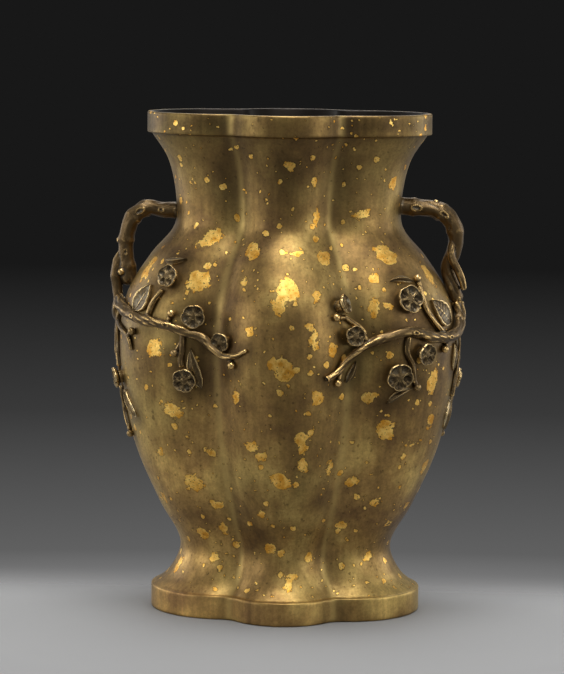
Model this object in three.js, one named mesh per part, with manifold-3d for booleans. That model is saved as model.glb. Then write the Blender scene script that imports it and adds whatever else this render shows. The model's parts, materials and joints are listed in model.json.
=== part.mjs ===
// Bronze vase with prunus-branch handles, built as separate castings. Millimetres, +Z up.
// The origin is the centre of the foot on the table, and the front lobe faces -Y.
// The plan is an oblong quatrefoil: two side lobes, a front and a back lobe, meeting in four cusps.
import * as THREE from "three";
import { mergeVertices } from "three/addons/utils/BufferGeometryUtils.js";
import Module from "manifold-3d";

const wasm = await Module();
wasm.setup();

// Driving sizes of the vessel
const HEIGHT = 300;
const WALL = 4;
const FIT = 0.3; // clearance where one casting sits on another
const MOUTH = { halfWidth: 85.2, bandHeight: 12.4, ledge: 2.4 };
const FOOT = { halfWidth: 81.4, bandHeight: 14, ledge: 1.8, rim: 5 };
const PLATE = { thickness: 3, recess: 5, seat: 3 };
// Half-widths of the side silhouette between the two bands, from the foot up
const CAVETTO = { halfWidth: 70.6, z: 21.8 };
const WAIST = { halfWidth: 63.7, z: 38.8 };
const LOWER_BELLY = { halfWidth: 77, z: 65.2 };
const SWELL = { halfWidth: 92.7, z: 103 };
const BELLY = { halfWidth: 101.4, z: 161 };
const UPPER_BELLY = { halfWidth: 97.1, z: 190.4 };
const SHOULDER = { halfWidth: 82.9, z: 214.2 };
const NECK_ROOT = { halfWidth: 68.6, z: 232 };
const NECK = { halfWidth: 67.6, z: 247 };
const FLARE = { halfWidth: 72.6, z: 271.5 };
// Plan of the lobes, as they are at the belly: every other level is this plan scaled to its half-width
const LOBES = { sideRadius: 57, cuspOffCentre: 37.5, halfDepth: 79 };
const SIDE_FACETS = 12;
const FRONT_FACETS = 8;

// Driving sizes of the handles and their ornament
const LEFT_HANDLE = { rootZ: 240.5, reach: 98.2, radius: 4.7 };
const RIGHT_HANDLE = { rootZ: 244.8, reach: 100.7, radius: 4.9 };
const ROOT_SINK = 3; // how far a root runs into the surface before it is cut to it
const BOUGH_RADIUS = 2.9;
const TWIG_RADIUS = 1.5;
const BUD_RADIUS = 2.3;
const BLOSSOM = { relief: 4.2, notch: 0.84, cup: 1.5, boss: 2.4 };
const LEAF_RELIEF = 3;
const FORK_STEPS = 4;
const FORK_SIDES = 5;

// Finishes
const BRONZE = { color: 0x6b5630, roughness: 0.42, metalness: 0.9 };
const DARK_BRONZE = { color: 0x4f4028, roughness: 0.5, metalness: 0.85 };
const WORN_BRONZE = { color: 0x7a6238, roughness: 0.38, metalness: 0.9 };

const UP = new THREE.Vector3(0, 0, 1);

// The side silhouette as one smooth curve: x is the half-width and z the height
const silhouette = new THREE.CatmullRomCurve3(
  [
    { halfWidth: FOOT.halfWidth - FOOT.ledge, z: FOOT.bandHeight },
    CAVETTO,
    WAIST,
    LOWER_BELLY,
    SWELL,
    BELLY,
    UPPER_BELLY,
    SHOULDER,
    NECK_ROOT,
    NECK,
    FLARE,
    { halfWidth: MOUTH.halfWidth - MOUTH.ledge, z: HEIGHT - MOUTH.bandHeight },
  ].map(({ halfWidth, z }) => new THREE.Vector3(halfWidth, 0, z)),
);
const SILHOUETTE_RINGS = 22;
const INNER_EVERY = 3; // the inner wall has a ring for every third one outside
const levels = silhouette.getPoints(SILHOUETTE_RINGS * 8);

function halfWidthAt(z) {
  const above = levels.findIndex((p) => p.z >= z);
  if (above < 1) return above === 0 ? levels[0].x : levels.at(-1).x;
  const [a, b] = [levels[above - 1], levels[above]];
  return THREE.MathUtils.lerp(a.x, b.x, (z - a.z) / (b.z - a.z));
}

// The circles of the two kinds of lobe at one half-width, moved out or in by a parallel offset
function lobeCircles(halfWidth, outset = 0) {
  const scale = halfWidth / BELLY.halfWidth;
  const sideRadius = LOBES.sideRadius * scale;
  const sideX = halfWidth - sideRadius;
  const cuspX = LOBES.cuspOffCentre * scale;
  const cuspY = Math.sqrt(sideRadius ** 2 - (sideX - cuspX) ** 2);
  const sag = LOBES.halfDepth * scale - cuspY;
  const frontRadius = (cuspX ** 2 + sag ** 2) / (2 * sag);
  return {
    sideX,
    sideRadius: sideRadius + outset,
    frontY: LOBES.halfDepth * scale - frontRadius,
    frontRadius: frontRadius + outset,
  };
}

// Where the two circles cross, in the quarter of the plan with positive x and y
function cusp({ sideX, sideRadius, frontY, frontRadius }) {
  const apart = Math.hypot(sideX, frontY);
  const along = (sideRadius ** 2 - frontRadius ** 2 + apart ** 2) / (2 * apart);
  const across = Math.sqrt(sideRadius ** 2 - along ** 2);
  const [ux, uy] = [-sideX / apart, frontY / apart];
  return [sideX + along * ux + across * uy, along * uy - across * ux];
}

function arc(centreX, centreY, radius, from, to, facets) {
  return Array.from({ length: facets }, (_, i) => {
    const angle = THREE.MathUtils.lerp(from, to, i / facets);
    return new THREE.Vector2(centreX + radius * Math.cos(angle), centreY + radius * Math.sin(angle));
  });
}

// The quatrefoil outline, anticlockwise from the front cusp on the right
function plan(halfWidth, outset = 0) {
  const circles = lobeCircles(halfWidth, outset);
  const { sideX, sideRadius, frontY, frontRadius } = circles;
  const [x, y] = cusp(circles);
  const side = Math.atan2(y, x - sideX);
  const front = Math.atan2(y - frontY, x);
  return [
    ...arc(sideX, 0, sideRadius, -side, side, SIDE_FACETS),
    ...arc(0, frontY, frontRadius, front, Math.PI - front, FRONT_FACETS),
    ...arc(-sideX, 0, sideRadius, Math.PI - side, Math.PI + side, SIDE_FACETS),
    ...arc(0, -frontY, frontRadius, Math.PI + front, 2 * Math.PI - front, FRONT_FACETS),
  ];
}

// A closed skin over rings of equal length: capped at both ends, or joined end to end
function loft(rings, joined) {
  const count = rings[0].length;
  const positions = rings.flat().flatMap((p) => [p.x, p.y, p.z]);
  const index = [];
  const last = joined ? rings.length : rings.length - 1;
  for (let r = 0; r < last; r++) {
    const [low, high] = [r * count, ((r + 1) % rings.length) * count];
    for (let i = 0; i < count; i++) {
      const next = (i + 1) % count;
      index.push(low + i, low + next, high + next, low + i, high + next, high + i);
    }
  }
  if (!joined) {
    for (const [ring, flip] of [[0, true], [rings.length - 1, false]]) {
      const middle = positions.length / 3;
      const centre = rings[ring].reduce((sum, p) => sum.add(p), new THREE.Vector3());
      positions.push(...centre.divideScalar(count).toArray());
      for (let i = 0; i < count; i++) {
        const [a, b] = [ring * count + i, ring * count + ((i + 1) % count)];
        index.push(middle, flip ? b : a, flip ? a : b);
      }
    }
  }
  const geometry = new THREE.BufferGeometry();
  geometry.setAttribute("position", new THREE.Float32BufferAttribute(positions, 3));
  return geometry.setIndex(index);
}

const ring = (outline, z) => outline.map((p) => new THREE.Vector3(p.x, p.y, z));

// Solids for joining and cutting
function toSolid(geometry) {
  const bare = new THREE.BufferGeometry();
  bare.setAttribute("position", geometry.getAttribute("position"));
  const merged = mergeVertices(bare.setIndex(geometry.getIndex()), 1e-4);
  return new wasm.Manifold(
    new wasm.Mesh({
      numProp: 3,
      vertProperties: new Float32Array(merged.attributes.position.array),
      triVerts: new Uint32Array(merged.index.array),
    }),
  );
}

function toGeometry(solid) {
  const { vertProperties, triVerts } = solid.getMesh();
  const geometry = new THREE.BufferGeometry();
  geometry.setAttribute("position", new THREE.Float32BufferAttribute(vertProperties, 3));
  return geometry.setIndex([...triVerts]);
}

// The outer skin of the vessel, grown by an outset: the surface that ornament is cut to
const skinPoints = silhouette.getPoints(SILHOUETTE_RINGS);
function outerRings(outset = 0) {
  const upright = (halfWidth, z) => ring(plan(halfWidth, outset), z);
  return [
    upright(FOOT.halfWidth, 0),
    upright(FOOT.halfWidth, FOOT.bandHeight),
    ...skinPoints.map((p, i) => upright(p.x, i === 0 ? p.z + outset : p.z)),
    upright(MOUTH.halfWidth, HEIGHT - MOUTH.bandHeight),
    upright(MOUTH.halfWidth, HEIGHT),
  ];
}

// Body casting: open at the mouth, and at the foot where the base plate goes in
function bodyGeometry() {
  const plateTop = PLATE.recess + PLATE.thickness + FIT;
  const ledge = FOOT.rim + PLATE.seat;
  const inner = [];
  for (let i = skinPoints.length - 1; i > 0; i -= INNER_EVERY) {
    const tangent = silhouette.getTangent(i / SILHOUETTE_RINGS);
    const at = skinPoints[i];
    const z = at.z + WALL * tangent.x;
    if (z < HEIGHT - WALL && z > CAVETTO.z) inner.push(ring(plan(at.x, -WALL * tangent.z), z));
  }
  return loft(
    [
      ...outerRings(),
      ring(plan(MOUTH.halfWidth, -WALL), HEIGHT),
      ring(plan(MOUTH.halfWidth - MOUTH.ledge, -WALL), HEIGHT - MOUTH.bandHeight / 2),
      ...inner,
      ring(plan(FOOT.halfWidth, -ledge), PLATE.recess + PLATE.thickness + FIT + WALL),
      ring(plan(FOOT.halfWidth, -ledge), plateTop),
      ring(plan(FOOT.halfWidth, -FOOT.rim), plateTop),
      ring(plan(FOOT.halfWidth, -FOOT.rim), 0),
    ],
    true,
  );
}

// Base plate: a flat casting with the foot's plan, let into the foot from below
function plateGeometry() {
  const outline = new THREE.Shape(plan(FOOT.halfWidth, -FOOT.rim - FIT));
  return new THREE.ExtrudeGeometry(outline, { depth: PLATE.thickness, bevelEnabled: false });
}

// Places on the vessel: a bearing in degrees round the axis from the front, a height, and a lift off the skin
function radiusAt(bearing, z) {
  const { sideX, sideRadius, frontY, frontRadius } = lobeCircles(halfWidthAt(z));
  const angle = Math.abs(THREE.MathUtils.degToRad(THREE.MathUtils.euclideanModulo(bearing + 180, 360) - 180));
  const fromFront = angle > Math.PI / 2 ? Math.PI - angle : angle;
  const far = (centre, radius, turn) =>
    centre * turn + Math.sqrt(Math.max(0, centre ** 2 * (turn ** 2 - 1) + radius ** 2));
  return Math.max(
    far(sideX, sideRadius, Math.sin(fromFront)),
    Math.sqrt(Math.max(0, frontRadius ** 2 - (frontY * Math.sin(fromFront)) ** 2)) + frontY * Math.cos(fromFront),
  );
}

function skinPoint(bearing, z) {
  const angle = THREE.MathUtils.degToRad(bearing);
  const radius = radiusAt(bearing, z);
  return new THREE.Vector3(radius * Math.sin(angle), -radius * Math.cos(angle), z);
}

function skinNormal(bearing, z) {
  const [turn, rise] = [2, 1];
  const across = skinPoint(bearing + turn, z).sub(skinPoint(bearing - turn, z));
  const upward = skinPoint(bearing, z + rise).sub(skinPoint(bearing, z - rise));
  return across.cross(upward).normalize();
}

const onSkin = ([bearing, z, lift = 0]) => skinPoint(bearing, z).addScaledVector(skinNormal(bearing, z), lift);

// A gnarled branch: a round bar bent along a curve, with its own radius and knots along the way
function branchGeometry({ points, radii, knots = [], sides = 8, steps = 16 }, grow = 0) {
  const curve = new THREE.CatmullRomCurve3(points);
  const frames = curve.computeFrenetFrames(steps, false);
  const circle = new THREE.Shape(arc(0, 0, 1, 0, 2 * Math.PI, sides));
  const geometry = new THREE.ExtrudeGeometry(circle, { depth: 1, steps, bevelEnabled: false });
  const position = geometry.getAttribute("position");
  const vertex = new THREE.Vector3();
  for (let i = 0; i < position.count; i++) {
    vertex.fromBufferAttribute(position, i);
    const along = vertex.z;
    const frame = Math.round(along * steps);
    const slot = Math.min(along * (radii.length - 1), radii.length - 1 - 1e-9);
    const taper = THREE.MathUtils.lerp(radii[Math.floor(slot)], radii[Math.floor(slot) + 1], slot % 1);
    const swell = knots.reduce((sum, k) => sum + k.size * Math.exp(-(((along - k.at) / k.spread) ** 2)), 0);
    const radius = taper + swell + grow;
    const centre = curve.getPointAt(along);
    const outward = frames.normals[frame].clone().multiplyScalar(vertex.x * radius);
    outward.addScaledVector(frames.binormals[frame], vertex.y * radius);
    position.setXYZ(i, ...centre.add(outward).toArray());
  }
  return geometry;
}

// A bud on a short stem that springs from a branch
function budSolid({ from, at, radius = BUD_RADIUS }, grow = 0) {
  const tip = onSkin(at);
  const ball = new THREE.SphereGeometry(radius + grow, 6, 4).translate(...tip.toArray());
  const root = onSkin(from);
  const stem = { points: [root, tip], radii: [0.6 * radius, 0.5 * radius], sides: 4, steps: 1 };
  return toSolid(ball).add(toSolid(branchGeometry(stem, grow)));
}

// An open five-petalled blossom: cupped petals with a raised rim round a boss, its back flat at z = 0
const PETALS = 5;
const PETAL_FACETS = 3;
function blossomGeometry(radius, grow = 0) {
  const facets = PETALS * PETAL_FACETS;
  const outline = (share, z) =>
    Array.from({ length: facets }, (_, i) => {
      const inPetal = Math.sin((Math.PI * (i % PETAL_FACETS)) / PETAL_FACETS);
      const scallop = THREE.MathUtils.lerp(BLOSSOM.notch, 1, Math.sqrt(inPetal));
      const angle = (2 * Math.PI * i) / facets;
      const reach = (radius * scallop + grow) * share;
      return new THREE.Vector3(reach * Math.cos(angle), reach * Math.sin(angle), z);
    });
  const { relief, cup, boss } = BLOSSOM;
  return loft(
    [
      outline(1, -relief - grow),
      outline(1, relief + grow),
      outline(0.5, relief - cup + grow),
      outline(0.24, relief - cup + 0.4 * boss + grow),
    ],
    false,
  );
}

// A leaf along +Y from its stalk: two blades that fold down to a midrib, with its back flat
const LEAF_STATIONS = 5;
const FOLD = 0.6; // height of the midrib as a share of the blades beside it
function leafGeometry(length, width, grow = 0) {
  const stations = Array.from({ length: LEAF_STATIONS }, (_, i) => {
    const along = i / (LEAF_STATIONS - 1);
    const half = (width / 2) * (0.16 + 0.84 * Math.sin(Math.PI * along ** 0.8)) + grow;
    const y = (along - 0.5) * (length + 2 * grow);
    const crown = LEAF_RELIEF * (0.55 + 0.45 * Math.sin(Math.PI * along)) + grow;
    return [
      new THREE.Vector3(-half, y, -LEAF_RELIEF - grow),
      new THREE.Vector3(-half, y, crown),
      new THREE.Vector3(0, y, crown * FOLD),
      new THREE.Vector3(half, y, crown),
      new THREE.Vector3(half, y, -LEAF_RELIEF - grow),
    ];
  });
  return loft(stations, false);
}

// Turns a piece made flat at the origin onto the skin: its own +Z points outward and +Y up the vessel
function seated(geometry, { at, turn = 0, tilt = 0, tiltAxis = 0 }) {
  const normal = skinNormal(at[0], at[1]);
  const upward = UP.clone().addScaledVector(normal, -normal.z).normalize();
  const across = upward.clone().cross(normal);
  const place = new THREE.Matrix4().makeBasis(across, upward, normal).setPosition(onSkin(at));
  const lean = THREE.MathUtils.degToRad(tiltAxis);
  const axis = new THREE.Vector3(Math.cos(lean), Math.sin(lean), 0);
  place.multiply(new THREE.Matrix4().makeRotationAxis(axis, THREE.MathUtils.degToRad(tilt)));
  place.multiply(new THREE.Matrix4().makeRotationZ(THREE.MathUtils.degToRad(turn)));
  return geometry.applyMatrix4(place);
}

// Handles. Each is drawn in its own upright plane, side -1 on the left and +1 on the right
function handlePoint(side, reach, z, forward = 0) {
  return new THREE.Vector3(side * reach, -forward, z);
}

function leftHandleParts() {
  const { rootZ, reach, radius } = LEFT_HANDLE;
  const at = (out, down, forward) => handlePoint(-1, reach + out, rootZ - down, forward);
  const loop = {
    points: [
      onSkin([-90, rootZ, -ROOT_SINK]),
      at(-22.6, 0, 0),
      at(-14.5, -1.2, 0.5),
      at(-8.5, 0.9, 1),
      at(-4.2, 5.4, 1),
      at(-1.6, 12, 0.5),
      at(-0.2, 20, 0),
      at(-0.4, 28, 0),
      at(-1.2, 35, 0),
      onSkin([-90, rootZ - 46, 0]),
    ],
    radii: [1.1, 1, 0.96, 1, 1.04, 0.98, 0.94, 1, 1.1, 1.2].map((share) => share * radius),
    knots: [
      { at: 0.3, size: 0.5, spread: 0.04 },
      { at: 0.42, size: 0.7, spread: 0.03 },
      { at: 0.62, size: 0.7, spread: 0.03 },
      { at: 0.84, size: 0.5, spread: 0.03 },
    ],
    sides: 8,
    steps: 18,
  };
  const lowerLimb = {
    points: [at(0.8, 26, 0), at(4.4, 32, 0.5), at(5.6, 39, 1), at(4.8, 47, 1), onSkin([-89, rootZ - 56, 3])],
    radii: [0.6, 0.66, 0.68, 0.64, 0.62].map((share) => share * radius),
    knots: [{ at: 0.5, size: 0.4, spread: 0.08 }],
    sides: 8,
    steps: 10,
  };
  const snag = {
    points: [at(0, 18.5, 0), at(3, 18, 0.4), at(6, 16.6, 0.8)],
    radii: [0.55 * radius, 0.4 * radius],
    sides: 6,
    steps: 2,
  };
  return [loop, lowerLimb, snag];
}

function rightHandleParts() {
  const { rootZ, reach, radius } = RIGHT_HANDLE;
  const at = (out, down, forward) => handlePoint(1, reach + out, rootZ - down, forward);
  const loop = {
    points: [
      onSkin([90, rootZ, -ROOT_SINK]),
      at(-22, 1, 0),
      at(-12.3, 2.1, 0.6),
      at(-5.7, 5.8, 1),
      at(-1.5, 11.8, 0.6),
      at(-0.2, 20, 0),
      at(-1.6, 28, -1),
      at(-4.6, 36, -1.5),
      onSkin([90, rootZ - 47, 4.4]),
      onSkin([90, rootZ - 57, 4.2]),
    ],
    radii: [1.14, 1, 1, 1.06, 1, 0.94, 0.9, 0.86, 0.86, 0.84].map((share) => share * radius),
    knots: [
      { at: 0.12, size: 0.7, spread: 0.03 },
      { at: 0.31, size: 0.8, spread: 0.03 },
      { at: 0.48, size: 0.6, spread: 0.03 },
      { at: 0.88, size: 0.4, spread: 0.03 },
    ],
    sides: 8,
    steps: 18,
  };
  const crossingTwig = {
    points: [at(-2, 22, 2), at(-3, 30, 4.4), at(1.4, 38, 5), at(4, 45, 4), at(5, 50, 3)],
    radii: [0.5, 0.46, 0.44, 0.42, 0.36].map((share) => share * radius),
    sides: 7,
    steps: 9,
  };
  const snag = {
    points: [at(-12, 3, 0), at(-12.6, -1.6, 1), at(-13.6, -5, 1.6)],
    radii: [0.5 * radius, 0.34 * radius],
    sides: 6,
    steps: 2,
  };
  return [loop, crossingTwig, snag];
}

// Ornament of the front, as bearings, heights and lifts. The back has the same, turned half round
const LEFT_FRONT = {
  bough: {
    route: [
      [-88, 186, 3.2],
      [-80, 183, 2.6],
      [-66, 178.6, 2],
      [-55, 177, 2],
      [-45.5, 172.8, 2.2],
      [-39.5, 170, 3.2],
      [-33.5, 164, 5],
      [-27, 160.4, 2.6],
      [-20.5, 161.4, 1.6],
      [-14.8, 165, 1.4],
    ],
    taper: [1.15, 1.1, 1.05, 1, 0.95, 0.9, 0.8, 0.62, 0.42],
    knots: [
      { at: 0.2, size: 0.5, spread: 0.03 },
      { at: 0.4, size: 0.4, spread: 0.03 },
      { at: 0.72, size: 0.5, spread: 0.04 },
    ],
    forks: [{ route: [[-62, 179, 1], [-60.6, 188, 1.6], [-58.4, 196.6, 1.2]], taper: [0.62, 0.52] }],
  },
  buds: [
    { from: [-53, 178, 1], at: [-51.7, 183.2, 2.2] },
    { from: [-25, 160.6, 1], at: [-22.6, 155.4, 1.6] },
  ],
  blossoms: [
    { name: "blossom_1", radius: 7, at: [-57.4, 203.2, 1], turn: 18, tilt: 6, tiltAxis: 0 },
    { name: "blossom_2", radius: 7.2, at: [-43.3, 182.4, 1.4], turn: -20, tilt: 10, tiltAxis: 20 },
    { name: "blossom_3", radius: 5.9, at: [-28.8, 168.8, 1.2], turn: 40, tilt: 20, tiltAxis: 60 },
    { name: "blossom_4", radius: 7.4, at: [-45.8, 145.2, 1.2], turn: 0, tilt: 4, tiltAxis: 0 },
    { name: "side_blossom", radius: 6.4, at: [-83.5, 140.6, 1], turn: 10, tilt: 5, tiltAxis: 0 },
  ],
  leaves: [
    { name: "leaf_1", length: 19, width: 13, at: [-67.4, 190.2, 0.6], turn: -26 },
    { name: "leaf_2", length: 15.5, width: 4.6, at: [-59.6, 213, 0.8], turn: -82 },
    { name: "leaf_3", length: 25, width: 8, at: [-42.4, 151.4, 0.8], turn: 14 },
    { name: "side_leaf", length: 20, width: 5.4, at: [-75.6, 125.6, 1], turn: 40 },
  ],
  twigs: [
    {
      name: "hanging_twig",
      route: [[-46.8, 173, 1], [-46.9, 163, 1.3], [-47.4, 157, 1.3], [-47.2, 151.8, 1.2]],
      taper: [1.2, 1.1, 1],
      buds: [{ from: [-46.8, 168, 1], at: [-49.6, 160.4, 1.6] }],
    },
    {
      name: "side_twig",
      route: [[-85, 184, 1], [-86.5, 174, 1.4], [-86.5, 160, 1.4], [-85, 146, 1.2]],
      taper: [1.2, 1.1, 1],
      forks: [{ route: [[-86.5, 173, 1], [-79, 171, 1.4], [-71.5, 166.4, 1.4], [-69.6, 159, 1]], taper: [1.1, 0.8] }],
      buds: [{ from: [-72.6, 167, 1], at: [-69, 170.6, 1.8] }],
    },
    {
      name: "side_shoot",
      route: [[-86, 135, 1], [-87, 126, 1.2], [-86, 116, 1.2], [-83.6, 109, 1.2]],
      taper: [1.1, 0.9],
      buds: [{ from: [-84, 110.4, 1.2], at: [-82.6, 106.4, 1.6] }],
    },
  ],
};

const RIGHT_FRONT = {
  bough: {
    route: [
      [90, 186, 4],
      [88.2, 178.6, 3.8],
      [82.4, 172, 3.2],
      [75, 169.4, 2.6],
      [65.4, 170.6, 2.1],
      [56.5, 174.4, 2],
      [49.5, 172.4, 2],
      [41.5, 168, 3],
      [36.5, 163.6, 4.6],
      [30.5, 158.8, 3.4],
      [25, 152, 1.8],
      [19.8, 148.4, 1.4],
    ],
    taper: [1.3, 1.24, 1.14, 1.05, 1.05, 1.1, 1, 0.95, 0.85, 0.75, 0.6, 0.56],
    knots: [
      { at: 0.24, size: 0.4, spread: 0.03 },
      { at: 0.44, size: 0.5, spread: 0.03 },
      { at: 0.7, size: 0.5, spread: 0.03 },
      { at: 0.98, size: 0.5, spread: 0.03 },
    ],
    forks: [
      { route: [[72.5, 171, 1.4], [67.6, 178.6, 1.6], [64.6, 187, 1.6], [65.4, 200, 1.2]], taper: [0.68, 0.46] },
      { route: [[39, 166, 2], [39.6, 175, 1.6], [34, 181, 1.6], [29.6, 184.6, 1.2]], taper: [0.56, 0.46] },
    ],
  },
  buds: [
    { from: [75, 168, 1], at: [72.6, 162.2, 1.6] },
    { from: [65.4, 199, 1.2], at: [65.8, 203.8, 1.8] },
    { from: [31, 183, 1.2], at: [25, 183.6, 1.8] },
    { from: [29, 156, 1], at: [26.2, 145.6, 1.4] },
  ],
  blossoms: [
    { name: "blossom_1", radius: 8.4, at: [57.6, 192.6, 1.2], turn: 0, tilt: 5, tiltAxis: 0 },
    { name: "blossom_2", radius: 6.2, at: [28.6, 190, 1.4], turn: 30, tilt: 26, tiltAxis: 110 },
    { name: "blossom_3", radius: 6.2, at: [34.8, 172.6, 2.6], turn: 12, tilt: 6, tiltAxis: 90 },
    { name: "blossom_4", radius: 8.4, at: [52.2, 149, 1.2], turn: -15, tilt: 4, tiltAxis: 0 },
    { name: "blossom_5", radius: 6.8, at: [61.8, 161.2, 1.2], turn: 24, tilt: 8, tiltAxis: 40 },
  ],
  leaves: [
    { name: "leaf_1", length: 23, width: 13, at: [73.8, 184, 0.6], turn: 50 },
    { name: "leaf_2", length: 16, width: 4.4, at: [58.4, 203.6, 0.8], turn: 86 },
    { name: "leaf_3", length: 14, width: 5.2, at: [34.5, 151.4, 1.4], turn: -26 },
    { name: "leaf_4", length: 18, width: 4.6, at: [53.4, 137.4, 0.8], turn: -60 },
    { name: "side_leaf", length: 17, width: 8, at: [82.6, 156, 0.8], turn: 4 },
    { name: "side_leaf_2", length: 18, width: 6.4, at: [85.4, 120.4, 0.8], turn: -6 },
  ],
  twigs: [
    {
      name: "hanging_twig",
      route: [[56, 172, 1], [55.2, 163, 1.4], [57.2, 155.6, 1.6], [58.8, 144, 1.2]],
      taper: [1.2, 1.1, 0.9],
      buds: [{ from: [58.6, 146, 1], at: [60, 141.6, 1.6] }],
    },
    {
      name: "side_twig",
      route: [[87.4, 172, 1], [88, 160, 1.4], [88, 146, 1.4], [86.6, 130.6, 1.2]],
      taper: [1.2, 1.1, 1],
    },
  ],
};

// Assembly. Each casting is cut clear of the vessel's skin and of the castings set before it
const root = new THREE.Group();
const set = [toSolid(loft(outerRings(FIT), false))];

function addMesh(name, geometry, finish) {
  geometry.computeVertexNormals();
  const mesh = new THREE.Mesh(geometry, new THREE.MeshStandardMaterial(finish));
  mesh.name = name;
  root.add(mesh);
  return mesh;
}

function largestBody(solid) {
  return solid.decompose().reduce((a, b) => (a.volume() > b.volume() ? a : b));
}

function setOn(name, make, finish) {
  const cut = set.reduce((solid, other) => solid.subtract(other), make(0));
  addMesh(name, toGeometry(largestBody(cut)), finish);
  set.push(make(FIT));
}

const halfTurn = (solid, behind) => (behind ? solid.rotate([0, 0, 180]) : solid);
const joined = (solids) => solids.reduce((a, b) => a.add(b));

function boughSolid({ route, taper, knots, buds = [], forks = [], radius, steps, sides }, grow) {
  const limb = (along, shares, more) =>
    toSolid(branchGeometry({ points: along.map(onSkin), radii: shares.map((s) => s * radius), ...more }, grow));
  return joined([
    limb(route, taper, { knots, steps, sides }),
    ...forks.map((fork) => limb(fork.route, fork.taper, { steps: FORK_STEPS, sides: FORK_SIDES })),
    ...buds.map((bud) => budSolid(bud, grow)),
  ]);
}

function addOrnament(corner, { bough, buds, blossoms, leaves, twigs }, behind) {
  const put = (name, make, finish) => setOn(`${corner}_${name}`, (grow) => halfTurn(make(grow), behind), finish);
  const main = { ...bough, buds, radius: BOUGH_RADIUS, steps: 15, sides: 6 };
  put("bough", (grow) => boughSolid(main, grow), DARK_BRONZE);
  for (const b of blossoms) {
    put(b.name, (grow) => toSolid(seated(blossomGeometry(b.radius, grow), b)), WORN_BRONZE);
  }
  for (const l of leaves) {
    put(l.name, (grow) => toSolid(seated(leafGeometry(l.length, l.width, grow), l)), WORN_BRONZE);
  }
  for (const t of twigs) {
    const twig = { ...t, radius: TWIG_RADIUS, steps: 4, sides: 5 };
    put(t.name, (grow) => boughSolid(twig, grow), DARK_BRONZE);
  }
}

addMesh("vase_body", bodyGeometry(), BRONZE);
addMesh("foot_plate", plateGeometry(), DARK_BRONZE).position.z = PLATE.recess;

const handleSolid = (parts) => (grow) => joined(parts.map((part) => toSolid(branchGeometry(part, grow))));
setOn("left_handle", handleSolid(leftHandleParts()), DARK_BRONZE);
setOn("right_handle", handleSolid(rightHandleParts()), DARK_BRONZE);

addOrnament("front_left", LEFT_FRONT, false);
addOrnament("front_right", RIGHT_FRONT, false);
addOrnament("back_right", LEFT_FRONT, true);
addOrnament("back_left", RIGHT_FRONT, true);

export default root;
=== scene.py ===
import json
import math

import bmesh
import bpy
import numpy as np
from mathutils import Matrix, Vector
from mathutils.kdtree import KDTree

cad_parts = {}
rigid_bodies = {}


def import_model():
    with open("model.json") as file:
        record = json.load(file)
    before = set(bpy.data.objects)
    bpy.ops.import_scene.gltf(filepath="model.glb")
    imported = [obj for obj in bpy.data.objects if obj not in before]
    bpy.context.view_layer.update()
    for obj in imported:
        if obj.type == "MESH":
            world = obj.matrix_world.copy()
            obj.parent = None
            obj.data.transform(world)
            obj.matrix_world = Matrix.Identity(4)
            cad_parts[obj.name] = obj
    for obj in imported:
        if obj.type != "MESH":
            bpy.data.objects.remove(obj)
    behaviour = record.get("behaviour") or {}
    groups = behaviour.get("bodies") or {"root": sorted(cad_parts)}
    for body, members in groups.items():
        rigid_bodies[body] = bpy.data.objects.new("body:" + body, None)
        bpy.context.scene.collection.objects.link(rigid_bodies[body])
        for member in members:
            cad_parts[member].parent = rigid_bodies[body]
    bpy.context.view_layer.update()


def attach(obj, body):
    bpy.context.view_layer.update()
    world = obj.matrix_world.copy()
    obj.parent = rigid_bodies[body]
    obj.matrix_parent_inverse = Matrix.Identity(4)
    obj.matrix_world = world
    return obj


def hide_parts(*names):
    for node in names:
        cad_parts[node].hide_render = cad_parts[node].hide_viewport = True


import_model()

# ---------------------------------------------------------------------------------------------------
# The vessel: one hollow bronze casting with an oblong four-lobed plan, an upright band at the mouth and
# at the foot, and four soft grooves between the lobes. It was filed smooth, patinated brown, and then
# splashed with fire gilding. Here and below, sizes are millimetres and bearings are degrees from the front.
MM = 0.001
HEIGHT, WALL = 300, 4
MOUTH, MOUTH_BAND, MOUTH_LEDGE = 85.2, 12.4, 2.4
FOOT, FOOT_BAND, FOOT_LEDGE, FOOT_RIM = 81.4, 14, 1.8, 5
PLATE_TOP, PLATE_SEAT = 8.3, 3
SIDE_LOBE, CUSP_OFF_CENTRE, HALF_DEPTH, BELLY = 57, 37.5, 79, 101.4
GROOVE_FILLET = 10  # how far from the cusp the two lobes start to run together
# Half-width and height of the side silhouette, between the bands
SILHOUETTE = [
    (FOOT - FOOT_LEDGE, FOOT_BAND), (70.6, 21.8), (63.7, 38.8), (77, 65.2), (92.7, 103), (BELLY, 161),
    (97.1, 190.4), (82.9, 214.2), (68.6, 232), (67.6, 247), (72.6, 271.5),
    (MOUTH - MOUTH_LEDGE, HEIGHT - MOUTH_BAND),
]


def smooth_path(points, count):
    """The smooth curve through the points, at count places equally far apart along it."""
    p = np.asarray(points, float)
    p = np.vstack([2 * p[0] - p[1], p, 2 * p[-1] - p[-2]])
    fine = []
    t = np.linspace(0, 1, 24, endpoint=False)[:, None]
    for a, b, c, d in zip(p, p[1:], p[2:], p[3:]):
        before, here, after = (math.sqrt(np.linalg.norm(v)) for v in (b - a, c - b, d - c))
        leave = ((b - a) / before - (c - a) / (before + here) + (c - b) / here) * here
        arrive = ((c - b) / here - (d - b) / (here + after) + (d - c) / after) * here
        fine.append(
            (2 * t**3 - 3 * t**2 + 1) * b + (t**3 - 2 * t**2 + t) * leave
            + (3 * t**2 - 2 * t**3) * c + (t**3 - t**2) * arrive
        )
    fine = np.vstack(fine + [p[-2:-1]])
    run = np.r_[0, np.cumsum(np.linalg.norm(np.diff(fine, axis=0), axis=1))]
    at = np.linspace(0, run[-1], count)
    return np.column_stack([np.interp(at, run, fine[:, k]) for k in range(p.shape[1])])


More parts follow.
